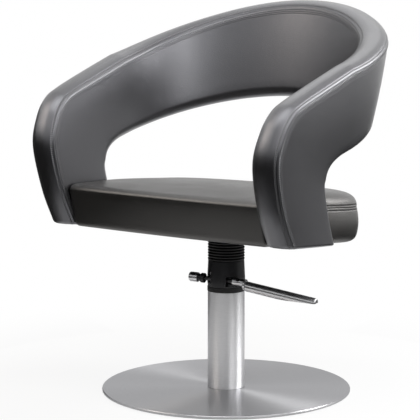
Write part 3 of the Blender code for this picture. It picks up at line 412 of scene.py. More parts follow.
def turned_steel(name):
    """Stainless plate brushed in circles round its middle."""
    s = Shader(name)
    split = s.add("ShaderNodeSeparateXYZ")
    s.link(s.place, split.inputs["Vector"])
    square = s.math("ADD", s.math("MULTIPLY", split.outputs["X"], split.outputs["X"]),
                    s.math("MULTIPLY", split.outputs["Y"], split.outputs["Y"]))
    radius = s.math("SQRT", square, 0.0)
    join = s.add("ShaderNodeCombineXYZ")
    s.link(radius, join.inputs["X"])
    s.link(s.math("ARCTAN2", split.outputs["Y"], split.outputs["X"]), join.inputs["Y"])
    line = s.add("ShaderNodeMapping")
    line.inputs["Scale"].default_value = (1.0, 0.0035, 1.0)
    s.link(join.outputs["Vector"], line.inputs["Vector"])
    lines = s.noise(1500, 3.0, line.outputs["Vector"])
    # Base tone 0.37 to 0.46 is the stainless painted darker than the tube's same steel: painted shade.
    s.tint(s.spread(lines, 0.0, 1.0), (0.37, 0.37, 0.38), (0.46, 0.46, 0.47))
    s.rough(s.spread(lines, 0.32, 0.40))
    s.bump(lines, 0.00002, 0.3)
    brushed(s)
    return s.material


def brushed(s):
    """Metal brushed in circles round the axis, which spreads its gloss across the lines."""
    tangent = s.add("ShaderNodeTangent", direction_type="RADIAL", axis="Z")
    s.link(tangent.outputs["Tangent"], s.surface.inputs["Tangent"])
    s.fixed(Metallic=1.0, Anisotropic=0.85, Anisotropic_Rotation=0.25, Specular_Tint=(0.7, 0.7, 0.71))


def ground_steel(name):
    """Stainless tube ground round its axis, with fine lines."""
    s = Shader(name)
    lines = s.noise(60, 3.0, s.stretched((1.0, 1.0, 60.0)))
    # Base tone 0.76 to 0.86 is the stainless painted brighter than the disc's same steel: painted light.
    s.tint(s.spread(lines, 0.0, 1.0), (0.76, 0.76, 0.77), (0.86, 0.86, 0.87))
    s.rough(s.spread(lines, 0.34, 0.42))
    s.bump(lines, 0.00002, 0.3)
    brushed(s)
    return s.material


def metal(name, dark, light, low, high, scale=40.0, bump=0.0):
    """A metal with faint blotches and varying gloss; bump roughens a casting."""
    s = Shader(name)
    s.tint(s.noise(scale, 4.0), dark, light)
    s.rough(s.spread(s.noise(scale * 3, 3.0), low, high))
    s.fixed(Metallic=1.0)
    if bump:
        s.bump(s.noise(scale * 20, 3.0), bump, 0.5)
    return s.material


def moulded(name, dark, light, low, high, grain, depth):
    """Plastic or rubber with a fine moulded grain."""
    s = Shader(name)
    s.tint(s.noise(25, 3.0), dark, light)
    s.rough(s.spread(s.noise(60, 3.0), low, high))
    s.bump(s.noise(grain, 2.0), depth, 0.4)
    return s.material


def wood(name):
    s = Shader(name)
    grain = s.noise(30, 5.0, s.stretched((1.0, 12.0, 40.0)))
    s.tint(s.spread(grain, 0.0, 1.0), (0.30, 0.19, 0.10), (0.50, 0.35, 0.20))
    s.rough(s.spread(grain, 0.55, 0.75))
    s.bump(grain, 0.0003, 0.4)
    return s.material


def woven(name, dark, light):
    """Open-weave dust cloth from crossed threads."""
    s = Shader(name)
    waves = []
    for direction in ("X", "Y"):
        wave = s.add("ShaderNodeTexWave", bands_direction=direction)
        wave.inputs["Scale"].default_value = 220
        s.link(s.place, wave.inputs["Vector"])
        waves.append(wave.outputs["Fac"])
    weave = s.math("MULTIPLY", waves[0], waves[1])
    s.tint(weave, dark, light)
    s.bump(weave, 0.0003, 0.6)
    s.fixed(Roughness=0.9)
    return s.material


LEATHER = leather("black_leather", (0.0040, 0.0040, 0.0043), (0.0065, 0.0065, 0.0068), 0.29, 0.35,
                  1.0, 0.5, (0.93, 0.93, 1.0))
SEAT_LEATHER = leather("seat_leather", (0.0060, 0.0057, 0.0053), (0.0090, 0.0086, 0.0080), 0.34, 0.40,
                       0.85, 0.0, (1.0, 0.97, 0.94))
# Thread far lighter than the hide: partly its own grey, partly a painted glint standing in for the stitches'
# highlights.
THREAD_GREY_AND_GLINT = thread("seam_thread_grey_and_glint", (0.09, 0.09, 0.092), (0.16, 0.16, 0.162))
DISC_STEEL_PAINTED_SHADE = turned_steel("disc_steel_painted_shade")
TUBE_STEEL_PAINTED_LIGHT = ground_steel("tube_steel_painted_light")
CHROME = metal("satin_chrome", (0.58, 0.58, 0.59), (0.66, 0.66, 0.67), 0.28, 0.34)
DARK_STEEL = metal("blackened_steel", (0.05, 0.05, 0.052), (0.09, 0.09, 0.092), 0.35, 0.5)
BRONZE = metal("bearing_bronze", (0.36, 0.22, 0.09), (0.46, 0.30, 0.14), 0.3, 0.45)
CASTING = metal("cast_aluminium", (0.42, 0.42, 0.43), (0.54, 0.54, 0.55), 0.45, 0.6, 60, 0.0002)
PLASTIC = moulded("collar_plastic", (0.009, 0.009, 0.011), (0.014, 0.014, 0.017), 0.36, 0.46,
                  1800, 0.0001)
RUBBER = moulded("soft_rubber", (0.010, 0.010, 0.010), (0.016, 0.016, 0.016), 0.45, 0.60,
                 1200, 0.0001)
PLYWOOD = wood("beech_plywood")
DUST_CLOTH = woven("dust_cloth", (0.010, 0.010, 0.011), (0.026, 0.026, 0.028))

SLOT_MATERIAL = {
    "brushed_stainless": TUBE_STEEL_PAINTED_LIGHT, "chrome": CHROME, "black_plastic": PLASTIC,
    "black_rubber": RUBBER, "dark_steel": DARK_STEEL, "bronze": BRONZE,
    "aluminium_casting": CASTING, "plywood": PLYWOOD, "underside_cloth": DUST_CLOTH,
    "leather": LEATHER,
}


# Carried-over CAD nodes
def smooth_group():
    """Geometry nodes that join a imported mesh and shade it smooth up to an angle."""
    group = bpy.data.node_groups.new("smooth_by_angle", "GeometryNodeTree")
    for way in ("INPUT", "OUTPUT"):
        group.interface.new_socket("Geometry", in_out=way, socket_type="NodeSocketGeometry")
    new = group.nodes.new
    source, result = new("NodeGroupInput"), new("NodeGroupOutput")
    merge, plain = new("GeometryNodeMergeByDistance"), new("GeometryNodeRemoveAttribute")
    faces, edges = new("GeometryNodeSetShadeSmooth"), new("GeometryNodeSetShadeSmooth")
    angle, steep = new("GeometryNodeInputMeshEdgeAngle"), new("FunctionNodeCompare")
    merge.inputs["Distance"].default_value = MERGE_DISTANCE
    plain.inputs["Name"].default_value = "custom_normal"
    faces.inputs["Shade Smooth"].default_value = True
    edges.domain = "EDGE"
    edges.inputs["Shade Smooth"].default_value = False
    steep.operation = "GREATER_THAN"
    steep.inputs["B"].default_value = SMOOTH_ANGLE
    link = group.links.new
    link(source.outputs[0], merge.inputs["Geometry"])
    link(merge.outputs["Geometry"], plain.inputs["Geometry"])
    link(plain.outputs["Geometry"], faces.inputs["Geometry"])
    link(faces.outputs["Geometry"], edges.inputs["Geometry"])
    link(angle.outputs["Unsigned Angle"], steep.inputs["A"])
    link(steep.outputs["Result"], edges.inputs["Selection"])
    link(edges.outputs["Geometry"], result.inputs[0])
    return group


def break_edges(obj, width, segments, angle):
    """Round the edges of an object that are sharper than an angle."""
    edge = obj.modifiers.new("edge", "BEVEL")
    edge.width = width
    edge.segments = segments
    edge.limit_method = "ANGLE"
    edge.angle_limit = angle
    edge.harden_normals = True


def dress_nodes():
    """Give every CAD node its slot's material, smooth shading and broken edges."""
    group = smooth_group()
    for part in frame["record"]["subparts"]:
        obj = NODES[part["node"]]
        obj.material_slots[0].material = SLOT_MATERIAL[part["material_slot"]]
        obj.modifiers.new("smooth", "NODES").node_group = group
        break_edges(obj, EDGE_WIDTH, 2, EDGE_ANGLE)
    NODES["base_disc"].material_slots[0].material = DISC_STEEL_PAINTED_SHADE


# Mesh helpers
def smooth(t):
    t = min(max(t, 0.0), 1.0)
    return t * t * (3 - 2 * t)


def quarter_turn(steps):
    return [math.pi / 2 * i / steps for i in range(steps + 1)]


def catmull(points, index, share):
    """Catmull-Rom between two neighbours of a list of tuples."""
    last = len(points) - 1
    p1, p2 = points[index], points[index + 1]
    p0 = points[index - 1] if index > 0 else tuple(2 * a - b for a, b in zip(p1, p2))
    p3 = points[index + 2] if index + 2 <= last else tuple(2 * b - a for a, b in zip(p1, p2))
    return tuple(0.5 * (2 * b + (c - a) * share + (2 * a - 5 * b + 4 * c - d) * share ** 2
                        + (3 * b - a - 3 * c + d) * share ** 3)
                 for a, b, c, d in zip(p0, p1, p2, p3))


def piece(name, bm, material, body):
    """Make a mesh into a named piece that rides on a body."""
    bmesh.ops.recalc_face_normals(bm, faces=bm.faces)
    mesh = bpy.data.meshes.new(name)
    bm.to_mesh(mesh)
    bm.free()
    mesh.shade_smooth()
    mesh.materials.append(material)
    obj = bpy.data.objects.new(name, mesh)
    bpy.context.scene.collection.objects.link(obj)
    if body:
        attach(obj, body)
    return obj


def skin(bm, rings):
    """Skin rings of equal count with quads and return their vertices."""
    levels = [[bm.verts.new(point) for point in points] for points in rings]
    count = len(levels[0])
    for lower, upper in zip(levels, levels[1:]):
        for i in range(count):
            j = (i + 1) % count
            bm.faces.new((lower[i], lower[j], upper[j], upper[i]))
    return levels


def fan(bm, loop):
    """Close a loop with triangles to its middle."""
    middle = bm.verts.new(sum((v.co for v in loop), Vector()) / len(loop))
    for a, b in zip(loop, loop[1:] + loop[:1]):
        bm.faces.new((a, b, middle))


def sewn_mesh():
    """An empty mesh whose vertices hold their offset across a seam and length along it."""
    bm = bmesh.new()
    for name in SEAM_LAYERS:
        bm.verts.layers.float.new(name)
    return bm


def mark_seam(bm, verts, offsets, alongs):
    across, along = [bm.verts.layers.float[name] for name in SEAM_LAYERS]
    for vert, offset, length in zip(verts, offsets, alongs):
        vert[across] = offset
        vert[along] = length


def walk(line):
    """Lengths along a line of points, from its start."""
    total = [0.0]
    for a, b in zip(line, line[1:]):
        total.append(total[-1] + math.dist(a, b))
    return total


def at_length(line, lengths, want):
    """Point on a line at a length along it."""
    i = min(max(bisect.bisect_right(lengths, want) - 1, 0), len(line) - 2)
    share = (want - lengths[i]) / max(lengths[i + 1] - lengths[i], 1e-9)
    return tuple(a + (b - a) * share for a, b in zip(line[i], line[i + 1]))


def sewing(offset):
    """How far a seam draws the surface in, at an offset across it."""
    seam = SEAM_GROOVE * math.exp(-(offset / SEAM_WIDTH) ** 2)
    rows = ROW_GROOVE * math.exp(-((abs(offset) - ROW_OFFSET) / ROW_WIDTH) ** 2)
    return seam + rows


SEWN_OFFSETS = [0.0001 * step for step in (
    -90, -76, -66, -60, -55, -50, -44, -34, -24, -16, -10, -5, 0,
    5, 10, 16, 24, 34, 44, 50, 55, 60, 66, 76, 90)]
ROW_PLACES = [i for i, offset in enumerate(SEWN_OFFSETS) if abs(abs(offset) - ROW_OFFSET) < 1e-6]


def stitches(name, rows, body):
    """Thread stitches along rows of (point, normal) samples."""
    bm = bmesh.new()
    for samples in rows:
        points = [tuple(point) for point, _ in samples]
        normals = [tuple(normal) for _, normal in samples]
        lengths = walk(points)
        count = int(lengths[-1] / STITCH_PITCH)
        for i in range(count):
            middle = (i + 0.5) * lengths[-1] / count
            ends = [Vector(at_length(points, lengths, middle + side * STITCH_LENGTH / 2))
                    for side in (-1, 1)]
            up = Vector(at_length(normals, lengths, middle)).normalized()
            stitch(bm, ends[0], ends[1], up)
    return piece(name, bm, THREAD_GREY_AND_GLINT, body)


def stitch(bm, start, end, up):
    """One stitch: a thread that rises from the hide, lies on it and dives again."""
    along = (end - start).normalized()
    across = along.cross(up).normalized()
    turns = [math.pi / 3 * i for i in range(6)]
    rings = []
    for share, lift, wide in STITCH_RINGS:
        middle = start.lerp(end, share) + up * (STITCH_RADIUS * lift)
        rings.append([middle + (across * math.cos(a) + up * math.sin(a)) * (STITCH_RADIUS * wide)
                      for a in turns])
    levels = skin(bm, rings)
    bm.faces.new(levels[0])
    bm.faces.new(levels[-1])


# Shape of the band
def back_plan(turn):
    """Place and outward normal on the back's elliptic plan."""
    x = ARM_MIDDLE * math.sin(turn)
    y = BACK_DEPTH * math.cos(turn) - BAND_TURN
    out = Vector((BACK_DEPTH * math.sin(turn), ARM_MIDDLE * math.cos(turn))).normalized()
    return x, y, out.x, out.y


BACK_LENGTHS = walk([back_plan(turn)[:2] for turn in quarter_turn(PLAN_STEPS)])
BACK_ARC = BACK_LENGTHS[-1]


def plan_at(along):
    """Place and outward normal on the plan, at a distance from the rear middle."""
    if along >= BACK_ARC:
        return ARM_MIDDLE, -BAND_TURN - (along - BACK_ARC), 1.0, 0.0
    low = max(bisect.bisect_right(BACK_LENGTHS, along) - 1, 0)
    span = BACK_LENGTHS[low + 1] - BACK_LENGTHS[low]
    share = (low + (along - BACK_LENGTHS[low]) / span) / PLAN_STEPS
    return back_plan(math.pi / 2 * share)


def band_point(along, rise, out):
    """World point of the band, leaning outwards more at the back than at the arms."""
    x, y, nx, ny = plan_at(along)
    lean = math.tan(LEAN_ARM) + (math.tan(LEAN_BACK) - math.tan(LEAN_ARM)) * smooth(ny / LEAN_BLEND)
    below = max(0.0, LEAN_RISE - rise)
    shift = (rise - LEAN_RISE) * lean + LEG_FLARE * below ** 2 + out
    return (x + nx * shift, y + ny * shift, SEAT_BASE_Z + rise)


def band_controls():
    """Crest and hem from the turn of the back to the foot, as (along, rise, along, rise)."""
    slope = math.tan(SEAT_TILT)
    turn = (BAND_TURN, TURN_TOP, BAND_TURN, TURN_HEM)
    foot = (LEG_FRONT, LEG_FRONT * slope - FOOT_DROP, LEG_REAR, LEG_REAR * slope)
    ahead = BACK_ARC - BAND_TURN
    return [(ahead + a, b, ahead + c, d) for a, b, c, d in (turn, *ARM_LINES, foot)]


def band_stations():
    """Sections from the rear middle to the foot, as (crest along, rise, hem along, rise)."""
    stations = []
    for i in range(BACK_STEPS):
        along = BACK_LENGTHS[i * PLAN_STEPS // BACK_STEPS]
        cosine = math.cos(math.pi / 2 * i / BACK_STEPS)
        crest = CREST_COSINE * cosine + (1 - CREST_COSINE) * cosine ** 2
        hem = HEM_COSINE * cosine + (1 - HEM_COSINE) * cosine ** 2
        stations.append((along, TURN_TOP + (BACK_TOP - TURN_TOP) * crest,
                         along, TURN_HEM + (BACK_HEM - TURN_HEM) * hem))
    controls = band_controls()
    for index, count in enumerate(ARM_STEPS):
        for i in range(count):
            stations.append(catmull(controls, index, i / count))
    stations.append(controls[-1])
    return stations


def power(value, exponent):
    return math.copysign(abs(value) ** exponent, value)


def nose_line():
    """Fine line of the rounded edge strip, from a lead on the inner face to one on the outer face."""
    turns = [math.pi * (i / NOSE_STEPS - 0.5) for i in range(NOSE_STEPS + 1)]
    nose = [(BULLNOSE * (1 - power(math.cos(a), 2 / NOSE_SQUARE)),
             BAND_HALF * power(math.sin(a), 2 / NOSE_SQUARE)) for a in turns]
    deep = BULLNOSE + NOSE_LEAD
    return [(deep, -BAND_HALF), *nose, (deep, BAND_HALF)]


def sewn_nose():
    """Edge strip with its two seams drawn in, its offsets from them and the stitch rows' places."""
    line = nose_line()
    lengths = walk(line)
    whole = lengths[-1]
    seam = NOSE_LEAD + NOSE_SEAM * (whole - 2 * NOSE_LEAD)
    wants = [seam + offset for offset in SEWN_OFFSETS]
    middle = [seam + (whole - 2 * seam) * share for share in (0.30, 0.36, 0.43, 0.5)]
    wants += middle
    mirrored = [whole - want for want in reversed(wants[:-1])]
    near_face = BAND_HALF * 0.9
    points = []
    offsets = []
    step = 0.0005
    for want in wants + mirrored:
        depth, out = at_length(line, lengths, want)
        before = at_length(line, lengths, max(want - step, 0.0))
        after = at_length(line, lengths, min(want + step, whole))
        tangent = Vector(after) - Vector(before)
        inward = Vector((-tangent.y, tangent.x)).normalized()
        if inward.x < 0 and abs(out) < near_face:
            inward = -inward
        offset = min(want - seam, whole - seam - want, key=abs)
        drawn = sewing(offset)
        points.append((depth + inward.x * drawn, out + inward.y * drawn))
        offsets.append(offset)
    count = len(points)
    return points, offsets, ROW_PLACES, [count - 1 - place for place in ROW_PLACES]


NOSE, NOSE_OFFSETS, INNER_ROWS, OUTER_ROWS = sewn_nose()
INNER_SEAM = SEWN_OFFSETS.index(0.0)
OUTER_SEAM = len(NOSE) - 1 - INNER_SEAM


def band_outline(width):
    """Section of the band as (distance from the crest, offset outwards) points."""
    half = BAND_HALF
    start = BULLNOSE + NOSE_LEAD
    outer_run = width - HEM_ROUND_OUT - start
    inner_run = width - HEM_ROUND_IN - start
    outer = [(start + outer_run * i / FACE_STEPS, half) for i in range(1, FACE_STEPS)]
    outer_corner = [(width - HEM_ROUND_OUT * (1 - math.sin(a)),
                     half - HEM_ROUND_OUT * (1 - math.cos(a)))
                    for a in quarter_turn(HEM_STEPS_OUT)]
    inner_corner = [(width - HEM_ROUND_IN * (1 - math.cos(a)),
                     -half + HEM_ROUND_IN * (1 - math.sin(a)))
                    for a in quarter_turn(HEM_STEPS_IN)]
    inner = [(start + inner_run * (1 - i / FACE_STEPS), -half) for i in range(1, FACE_STEPS)]
    return NOSE + outer + outer_corner + inner_corner + inner


def section_ring(station, inset=0.0):
    """Section of the band at a station, shrunk by inset all round."""
    crest_along, crest_rise, hem_along, hem_rise = station
    width = math.hypot(hem_along - crest_along, hem_rise - crest_rise)
    middle = width / 2
    ring_points = []
    for distance, out in band_outline(width):
        share = (middle + (distance - middle) * (1 - inset / middle)) / width
        puffed = 1 + FACE_PUFF / BAND_HALF * math.sin(math.pi * distance / width)
        ring_points.append(band_point(crest_along + (hem_along - crest_along) * share,
                                      crest_rise + (hem_rise - crest_rise) * share,
                                      out * puffed * (1 - inset / BAND_HALF)))
    return ring_points


def band_rings():
    """Rings of half the band, from the rear middle to the rounded foot."""
    stations = band_stations()
    last, foot = stations[-2], stations[-1]
    run = math.dist(last, foot) / 2
    rings = [section_ring(station) for station in stations[:-1]]
    for angle in FOOT_TURNS:
        share = FOOT_ROUND * (1 - math.sin(angle)) / run
        station = tuple(b + (a - b) * share for a, b in zip(last, foot))
        rings.append(section_ring(station, FOOT_ROUND * (1 - math.cos(angle))))
    return rings


def mirrored_rings(half):
    """Rings of the whole band, from the right foot round the back to the left one."""
    other = [[(-x, y, z) for x, y, z in points] for points in half[:0:-1]]
    return other + half


def build_band():
    rings = mirrored_rings(band_rings())
    bm = sewn_mesh()
    levels = skin(bm, rings)
    offsets = NOSE_OFFSETS + [UNSEWN] * (len(rings[0]) - len(NOSE))
    inner = walk([points[INNER_SEAM] for points in rings])
    outer = walk([points[OUTER_SEAM] for points in rings])
    middle = len(NOSE) // 2
    for level, near, far in zip(levels, inner, outer):
        alongs = [near if i < middle else far for i in range(len(level))]
        mark_seam(bm, level, offsets, alongs)
    fan(bm, levels[0])
    fan(bm, levels[-1])
    band = piece("band_cover", bm, LEATHER, "seat")
    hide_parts("arm_band")
    for label, places in (("inner", INNER_ROWS), ("outer", OUTER_ROWS)):
        rows = [ring_row(rings, place) for place in places]
        stitches(f"band_stitches_{label}", rows, "seat")


def ring_row(rings, place):
    """Points and outward normals along one place of a lofted band."""
    samples = []
    count = len(rings[0])
    for i, points in enumerate(rings):
        here = Vector(points[place])
        ahead = Vector(rings[min(i + 1, len(rings) - 1)][place])
        behind = Vector(rings[max(i - 1, 0)][place])
        across = Vector(points[(place + 3) % count]) - Vector(points[place - 3])
        normal = across.cross(ahead - behind)
        centre = sum((Vector(p) for p in points), Vector()) / count
        if normal.dot(here - centre) < 0:
            normal = -normal
        samples.append((here, normal.normalized()))
    return samples


# Seat
def seat_half_outline(insets):
    """Right half of the seat's outline, drawn in at its sides, rear and front by the insets."""
    beside, behind, ahead = insets
    front = SEAT_WIDTH_FRONT / 2 - beside
    rear = SEAT_WIDTH_REAR / 2 - behind
    corner = max(SEAT_CORNER - beside, SEAT_CORNER / 2)
    straight = front - corner
    side_start = corner + ahead - SEAT_FRONT
    points = []
    for i in range(FRONT_STEPS):
        x = straight * i / FRONT_STEPS
        points.append((x, ahead - SEAT_FRONT - SEAT_BULGE * (1 - (x / straight) ** 2)))
    for i in range(CORNER_STEPS):
        turn = math.pi / 2 * i / CORNER_STEPS
        points.append((straight + corner * math.sin(turn), side_start - corner * math.cos(turn)))
    for i in range(SIDE_STEPS):
        share = i / SIDE_STEPS
        x = front + (rear - front) * smooth(share * share)
        points.append((x, side_start + (SEAT_TURN - side_start) * share))
    for i in range(REAR_STEPS):
        turn = math.pi / 2 * i / REAR_STEPS
        across = math.cos(turn) ** (2 / SEAT_SQUARE)
        back = math.sin(turn) ** (2 / SEAT_SQUARE)
        points.append((rear * across, SEAT_TURN + (SEAT_REAR - behind - SEAT_TURN) * back))
    points.append((0.0, SEAT_REAR - behind))
    return points


def upper_share(level):
    """Share of the way from the seam to the rim, and 0 below the seam."""
    return max(0.0, (level - SEAT_SEAM) / (SEAT_RIM - SEAT_SEAM))


def front_slant(level):
    """How far the front is set back at a level."""
    left = SLANT_LEVEL - level + SEAT_FALL * upper_share(level)
    return (SEAT_SLANT * (left + math.hypot(left, SLANT_BEND))
            / (SLANT_LEVEL + math.hypot(SLANT_LEVEL, SLANT_BEND)))


def top_fall(y):
    """How far the top has dropped from the rear to a place towards the front."""
    return SEAT_FALL * ((SEAT_REAR - y) / (SEAT_REAR + SEAT_FRONT)) ** 3


def seat_ring(level, insets, slant):
    """The seat's outline at a level, in the tilted seat's own frame."""
    half = seat_half_outline(insets)
    outline = half + [(-x, y) for x, y in reversed(half[1:-1])]
    lowered = upper_share(level)
    return [Vector((x, y + slant * max(0.0, -y / SEAT_FRONT), level - lowered * top_fall(y)))
            for x, y in outline]


def lower_round(height, size):
    """How far a rounded lower edge draws in, at a height over its lowest line."""
    left = max(0.0, 1 - height / size)
    return size * (1 - math.sqrt(1 - left ** 2))


def seat_insets(level):
    """How far the seat's sides, rear and front are drawn in at a level."""
    if level <= SEAT_SEAM:
        height = (level + SEAT_DROOP) / (SEAT_SEAM + SEAT_DROOP) * SEAT_SEAM
        plain = lower_round(height, LOWER_INSET)
        puff = REAR_PUFF * math.sin(math.pi * height / SEAT_SEAM)
        return plain, lower_round(height, REAR_ROUND) - puff, plain
    share = (1 - math.sqrt(max(0.0, (SEAT_RIM - level) / (SEAT_RIM - SEAT_SEAM)))) ** 2
    turned = max(0.0, (level - FRONT_EDGE) / (SEAT_RIM - FRONT_EDGE))
    ahead = FRONT_ROLL * (1 - math.sqrt(max(0.0, 1 - turned ** 2)))
    return SIDE_ROLL * share, SEAT_ROLL * share, ahead


def seat_profile():
    """Fine line of (level, rear inset) from the lower edge over the seam to the rolled rim."""
    shares = [i / PROFILE_STEPS for i in range(PROFILE_STEPS + 1)]
    levels = [SEAT_SEAM * share - SEAT_DROOP * (1 - share) for share in shares[:-1]]
    levels += [SEAT_RIM - (SEAT_RIM - SEAT_SEAM) * (1 - share) ** 2 for share in shares]
    return [(level, seat_insets(level)[1]) for level in levels]


def sewn_side(y):
    """1 on the seat's sides and rear, fading to 0 before the front."""
    return smooth((y - SEWN_FRONT) / SEWN_FADE)


def build_seat():
    line = seat_profile()
    lengths = walk(line)
    seam = lengths[PROFILE_STEPS]
    whole = lengths[-1]
    sewn_end = seam + SEWN_OFFSETS[-1]
    wants = [(seam - PLAIN_BELOW) * share for share in SIDE_SHARES]
    wants += [seam + offset for offset in SEWN_OFFSETS]
    wants += [sewn_end + (whole - sewn_end) * place / ROLL_PARTS for place in ROLL_PLACES]
    tilt = Matrix.Translation((0, 0, SEAT_BASE_Z)) @ Matrix.Rotation(-SEAT_TILT, 4, "X")
    recess = [RECESS_INSET] * 3
    rings = [seat_ring(level, recess, SEAT_SLANT) for level in (RECESS_DEPTH, -SEAT_DROOP)]
    step = 0.001
    for want in wants:
        level, _ = at_length(line, lengths, want)
        before = at_length(line, lengths, max(want - step, 0.0))
        after = at_length(line, lengths, min(want + step, whole))
        tangent = (Vector(after) - Vector(before)).normalized()
        depth = sewing(want - seam)
        slant = front_slant(level)
        insets = seat_insets(level)
        plain = seat_ring(level, insets, slant)
        drawn_insets = [inset + tangent.x * depth for inset in insets]
        drawn = seat_ring(level - tangent.y * depth, drawn_insets, slant)
        rings.append([a.lerp(b, sewn_side(a.y)) for a, b in zip(plain, drawn)])
    rim = rings[-1]
    middle = (SEAT_REAR - SEAT_FRONT) / 2
    for share in TOP_SHARES:
        top = SEAT_RIM + SEAT_CROWN * (1 - share ** 2)
        flat = [(point.x * share, middle + (point.y - middle) * share) for point in rim]
        rings.append([Vector((x, y, top - top_fall(y))) for x, y in flat])
    rings = [[tilt @ point for point in points] for points in rings]
    bm = sewn_mesh()
    levels = skin(bm, rings)
    alongs = walk(rings[2 + wants.index(seam)])
    for i, level in enumerate(levels):
        offset = wants[i - 2] - seam if 2 <= i < 2 + len(wants) else UNSEWN
        offsets = [offset + math.copysign(UNSEWN * (1 - sewn_side(point.y)), offset)
                   for point in rings[i]]
        mark_seam(bm, level, offsets, alongs)
    fan(bm, levels[0])
    fan(bm, levels[-1])
    seat = piece("seat_cover", bm, SEAT_LEATHER, "seat")
    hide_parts("seat_cushion")
    first = 2 + wants.index(seam + SEWN_OFFSETS[0])
    rows = []
    for place in ROW_PLACES:
        points = rings[first + place]
        above = rings[first + place + 2]
        below = rings[first + place - 2]
        rows.append(seat_row(points, above, below))
    stitches("seat_stitches", rows, "seat")


def seat_row(points, above, below):
    """Points and outward normals of one stitch row round the sides and the rear."""
    count = len(points)
    samples = []
    for i, here in enumerate(points):
        if here.y < STITCH_FRONT:
            continue
        around = points[(i + 1) % count] - points[i - 1]
        normal = around.cross(above[i] - below[i]).normalized()
        outward = Vector((here.x, here.y, 0.05))
        samples.append((here, normal if normal.dot(outward) > 0 else -normal))
    return samples


# Bellows
def build_bellows():
    """Rubber bellows with rounded ribs, stretched between the collar and the ram."""
    length = BELLOWS_TOP_Z - COLLAR_TOP_Z
    steps = BELLOWS_RIBS * RIB_STEPS
    outer = []
    for i in range(steps + 1):
        phase = (i % RIB_STEPS) / RIB_STEPS
        bulge = abs(math.sin(math.pi * phase)) ** RIB_ROUND
        if i in (0, steps):
            bulge = END_BULGE
        outer.append((BELLOWS_RADIUS - RIB_DEPTH * (1 - bulge), COLLAR_TOP_Z + length * i / steps))
    inner = [(BELLOWS_BORE, z) for _, z in reversed(outer)]
    sides = 96
    turns = [2 * math.pi * i / sides for i in range(sides)]
    rings = [[(r * math.cos(a), r * math.sin(a), z) for a in turns] for r, z in outer + inner]
    bm = bmesh.new()
    skin(bm, rings + rings[:1])
    bmesh.ops.remove_doubles(bm, verts=bm.verts, dist=0.000001)
    bellows = piece("bellows_rubber", bm, RUBBER, None)
    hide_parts("bellows")
    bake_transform(bellows, "base", "ram", start=(0, 0, COLLAR_TOP_Z), end=(0, 0, BELLOWS_TOP_Z))


# Pedal
def build_pedal():
    """Round bar whose underside is cut flat towards the tip."""
    bm = bmesh.new()
    sides = 48
    stations = [(0.0, 0.92), (0.003, 0.97), (0.008, 1.0), (0.25, 1.0), (0.5, 1.0), (0.75, 1.0),
                (0.975, 1.0), (0.99, 0.95), (0.998, 0.82)]
    turns = [2 * math.pi * i / sides for i in range(sides)]
    rings = []
    for along, close in stations:
        run = PEDAL_LENGTH * along
        drop = -PEDAL_START_DROP - run * math.tan(PEDAL_DROP)
        rings.append([(PEDAL_START + run, PEDAL_RADIUS * close * math.cos(a),
                       drop + PEDAL_RADIUS * close * math.sin(a)) for a in turns])
    levels = skin(bm, rings)
    bm.faces.new(levels[0])
    bm.faces.new(levels[-1])
    start = PEDAL_START + PEDAL_LENGTH * PEDAL_CUT_START
    tip = PEDAL_START + PEDAL_LENGTH
    low = -PEDAL_START_DROP - PEDAL_LENGTH * PEDAL_CUT_START * math.tan(PEDAL_DROP) - PEDAL_RADIUS
    high = -PEDAL_START_DROP - PEDAL_LENGTH * math.tan(PEDAL_DROP) + PEDAL_RADIUS - PEDAL_TIP
    along = Vector((tip - start, 0, high - low)).normalized()
    below = Vector((along.z, 0, -along.x))
    cut = bmesh.ops.bisect_plane(bm, geom=bm.verts[:] + bm.edges[:] + bm.faces[:],
                                 plane_co=(start, 0, low), plane_no=below, clear_outer=True)
    edges = [e for e in cut["geom_cut"] if isinstance(e, bmesh.types.BMEdge)]
    bmesh.ops.edgeloop_fill(bm, edges=edges)
    place = (Matrix.Translation(PIVOT) @ Matrix.Rotation(LEVER_TURN, 4, "Z")
             @ Matrix.Rotation(SHAFT_DROP, 4, "Y"))
    bmesh.ops.transform(bm, matrix=place, verts=bm.verts)
    pedal = piece("pedal_rod", bm, CHROME, "lever")
    pedal.data.set_sharp_from_angle(angle=PEDAL_SHARP)
    break_edges(pedal, PEDAL_EDGE, 3, PEDAL_EDGE_ANGLE)
    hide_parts("pedal_bar")


# Studio
def add_camera():
    right = Vector((math.cos(CAMERA_TURN), math.sin(CAMERA_TURN), 0))
    forward = Vector((-math.sin(CAMERA_TURN) * math.cos(CAMERA_PITCH),
                      math.cos(CAMERA_TURN) * math.cos(CAMERA_PITCH), -math.sin(CAMERA_PITCH)))
    data = bpy.data.cameras.new("camera")
    data.sensor_width = SENSOR
    data.lens = SENSOR * FOCAL_PIXELS / PICTURE_PIXELS
    camera = bpy.data.objects.new("camera", data)
    camera.location = (Vector((math.sin(CAMERA_TURN) * CAMERA_REACH,
                               -math.cos(CAMERA_TURN) * CAMERA_REACH, CAMERA_HEIGHT))
                       + right * CAMERA_SIDE)
    camera.rotation_euler = forward.to_track_quat("-Z", "Y").to_euler()
    bpy.context.scene.collection.objects.link(camera)
    bpy.context.scene.camera = camera


def seen_rays(tree):
    """1 for rays that show the background: camera, glossy and transmission rays."""
    path = tree.nodes.new("ShaderNodeLightPath")
    names = ("Is Camera Ray", "Is Glossy Ray", "Is Transmission Ray")
    value = path.outputs[names[0]]
    for name in names[1:]:
        both = tree.nodes.new("ShaderNodeMath")
        both.operation = "MAXIMUM"
        tree.links.new(value, both.inputs[0])
        tree.links.new(path.outputs[name], both.inputs[1])
        value = both.outputs["Value"]
    return value


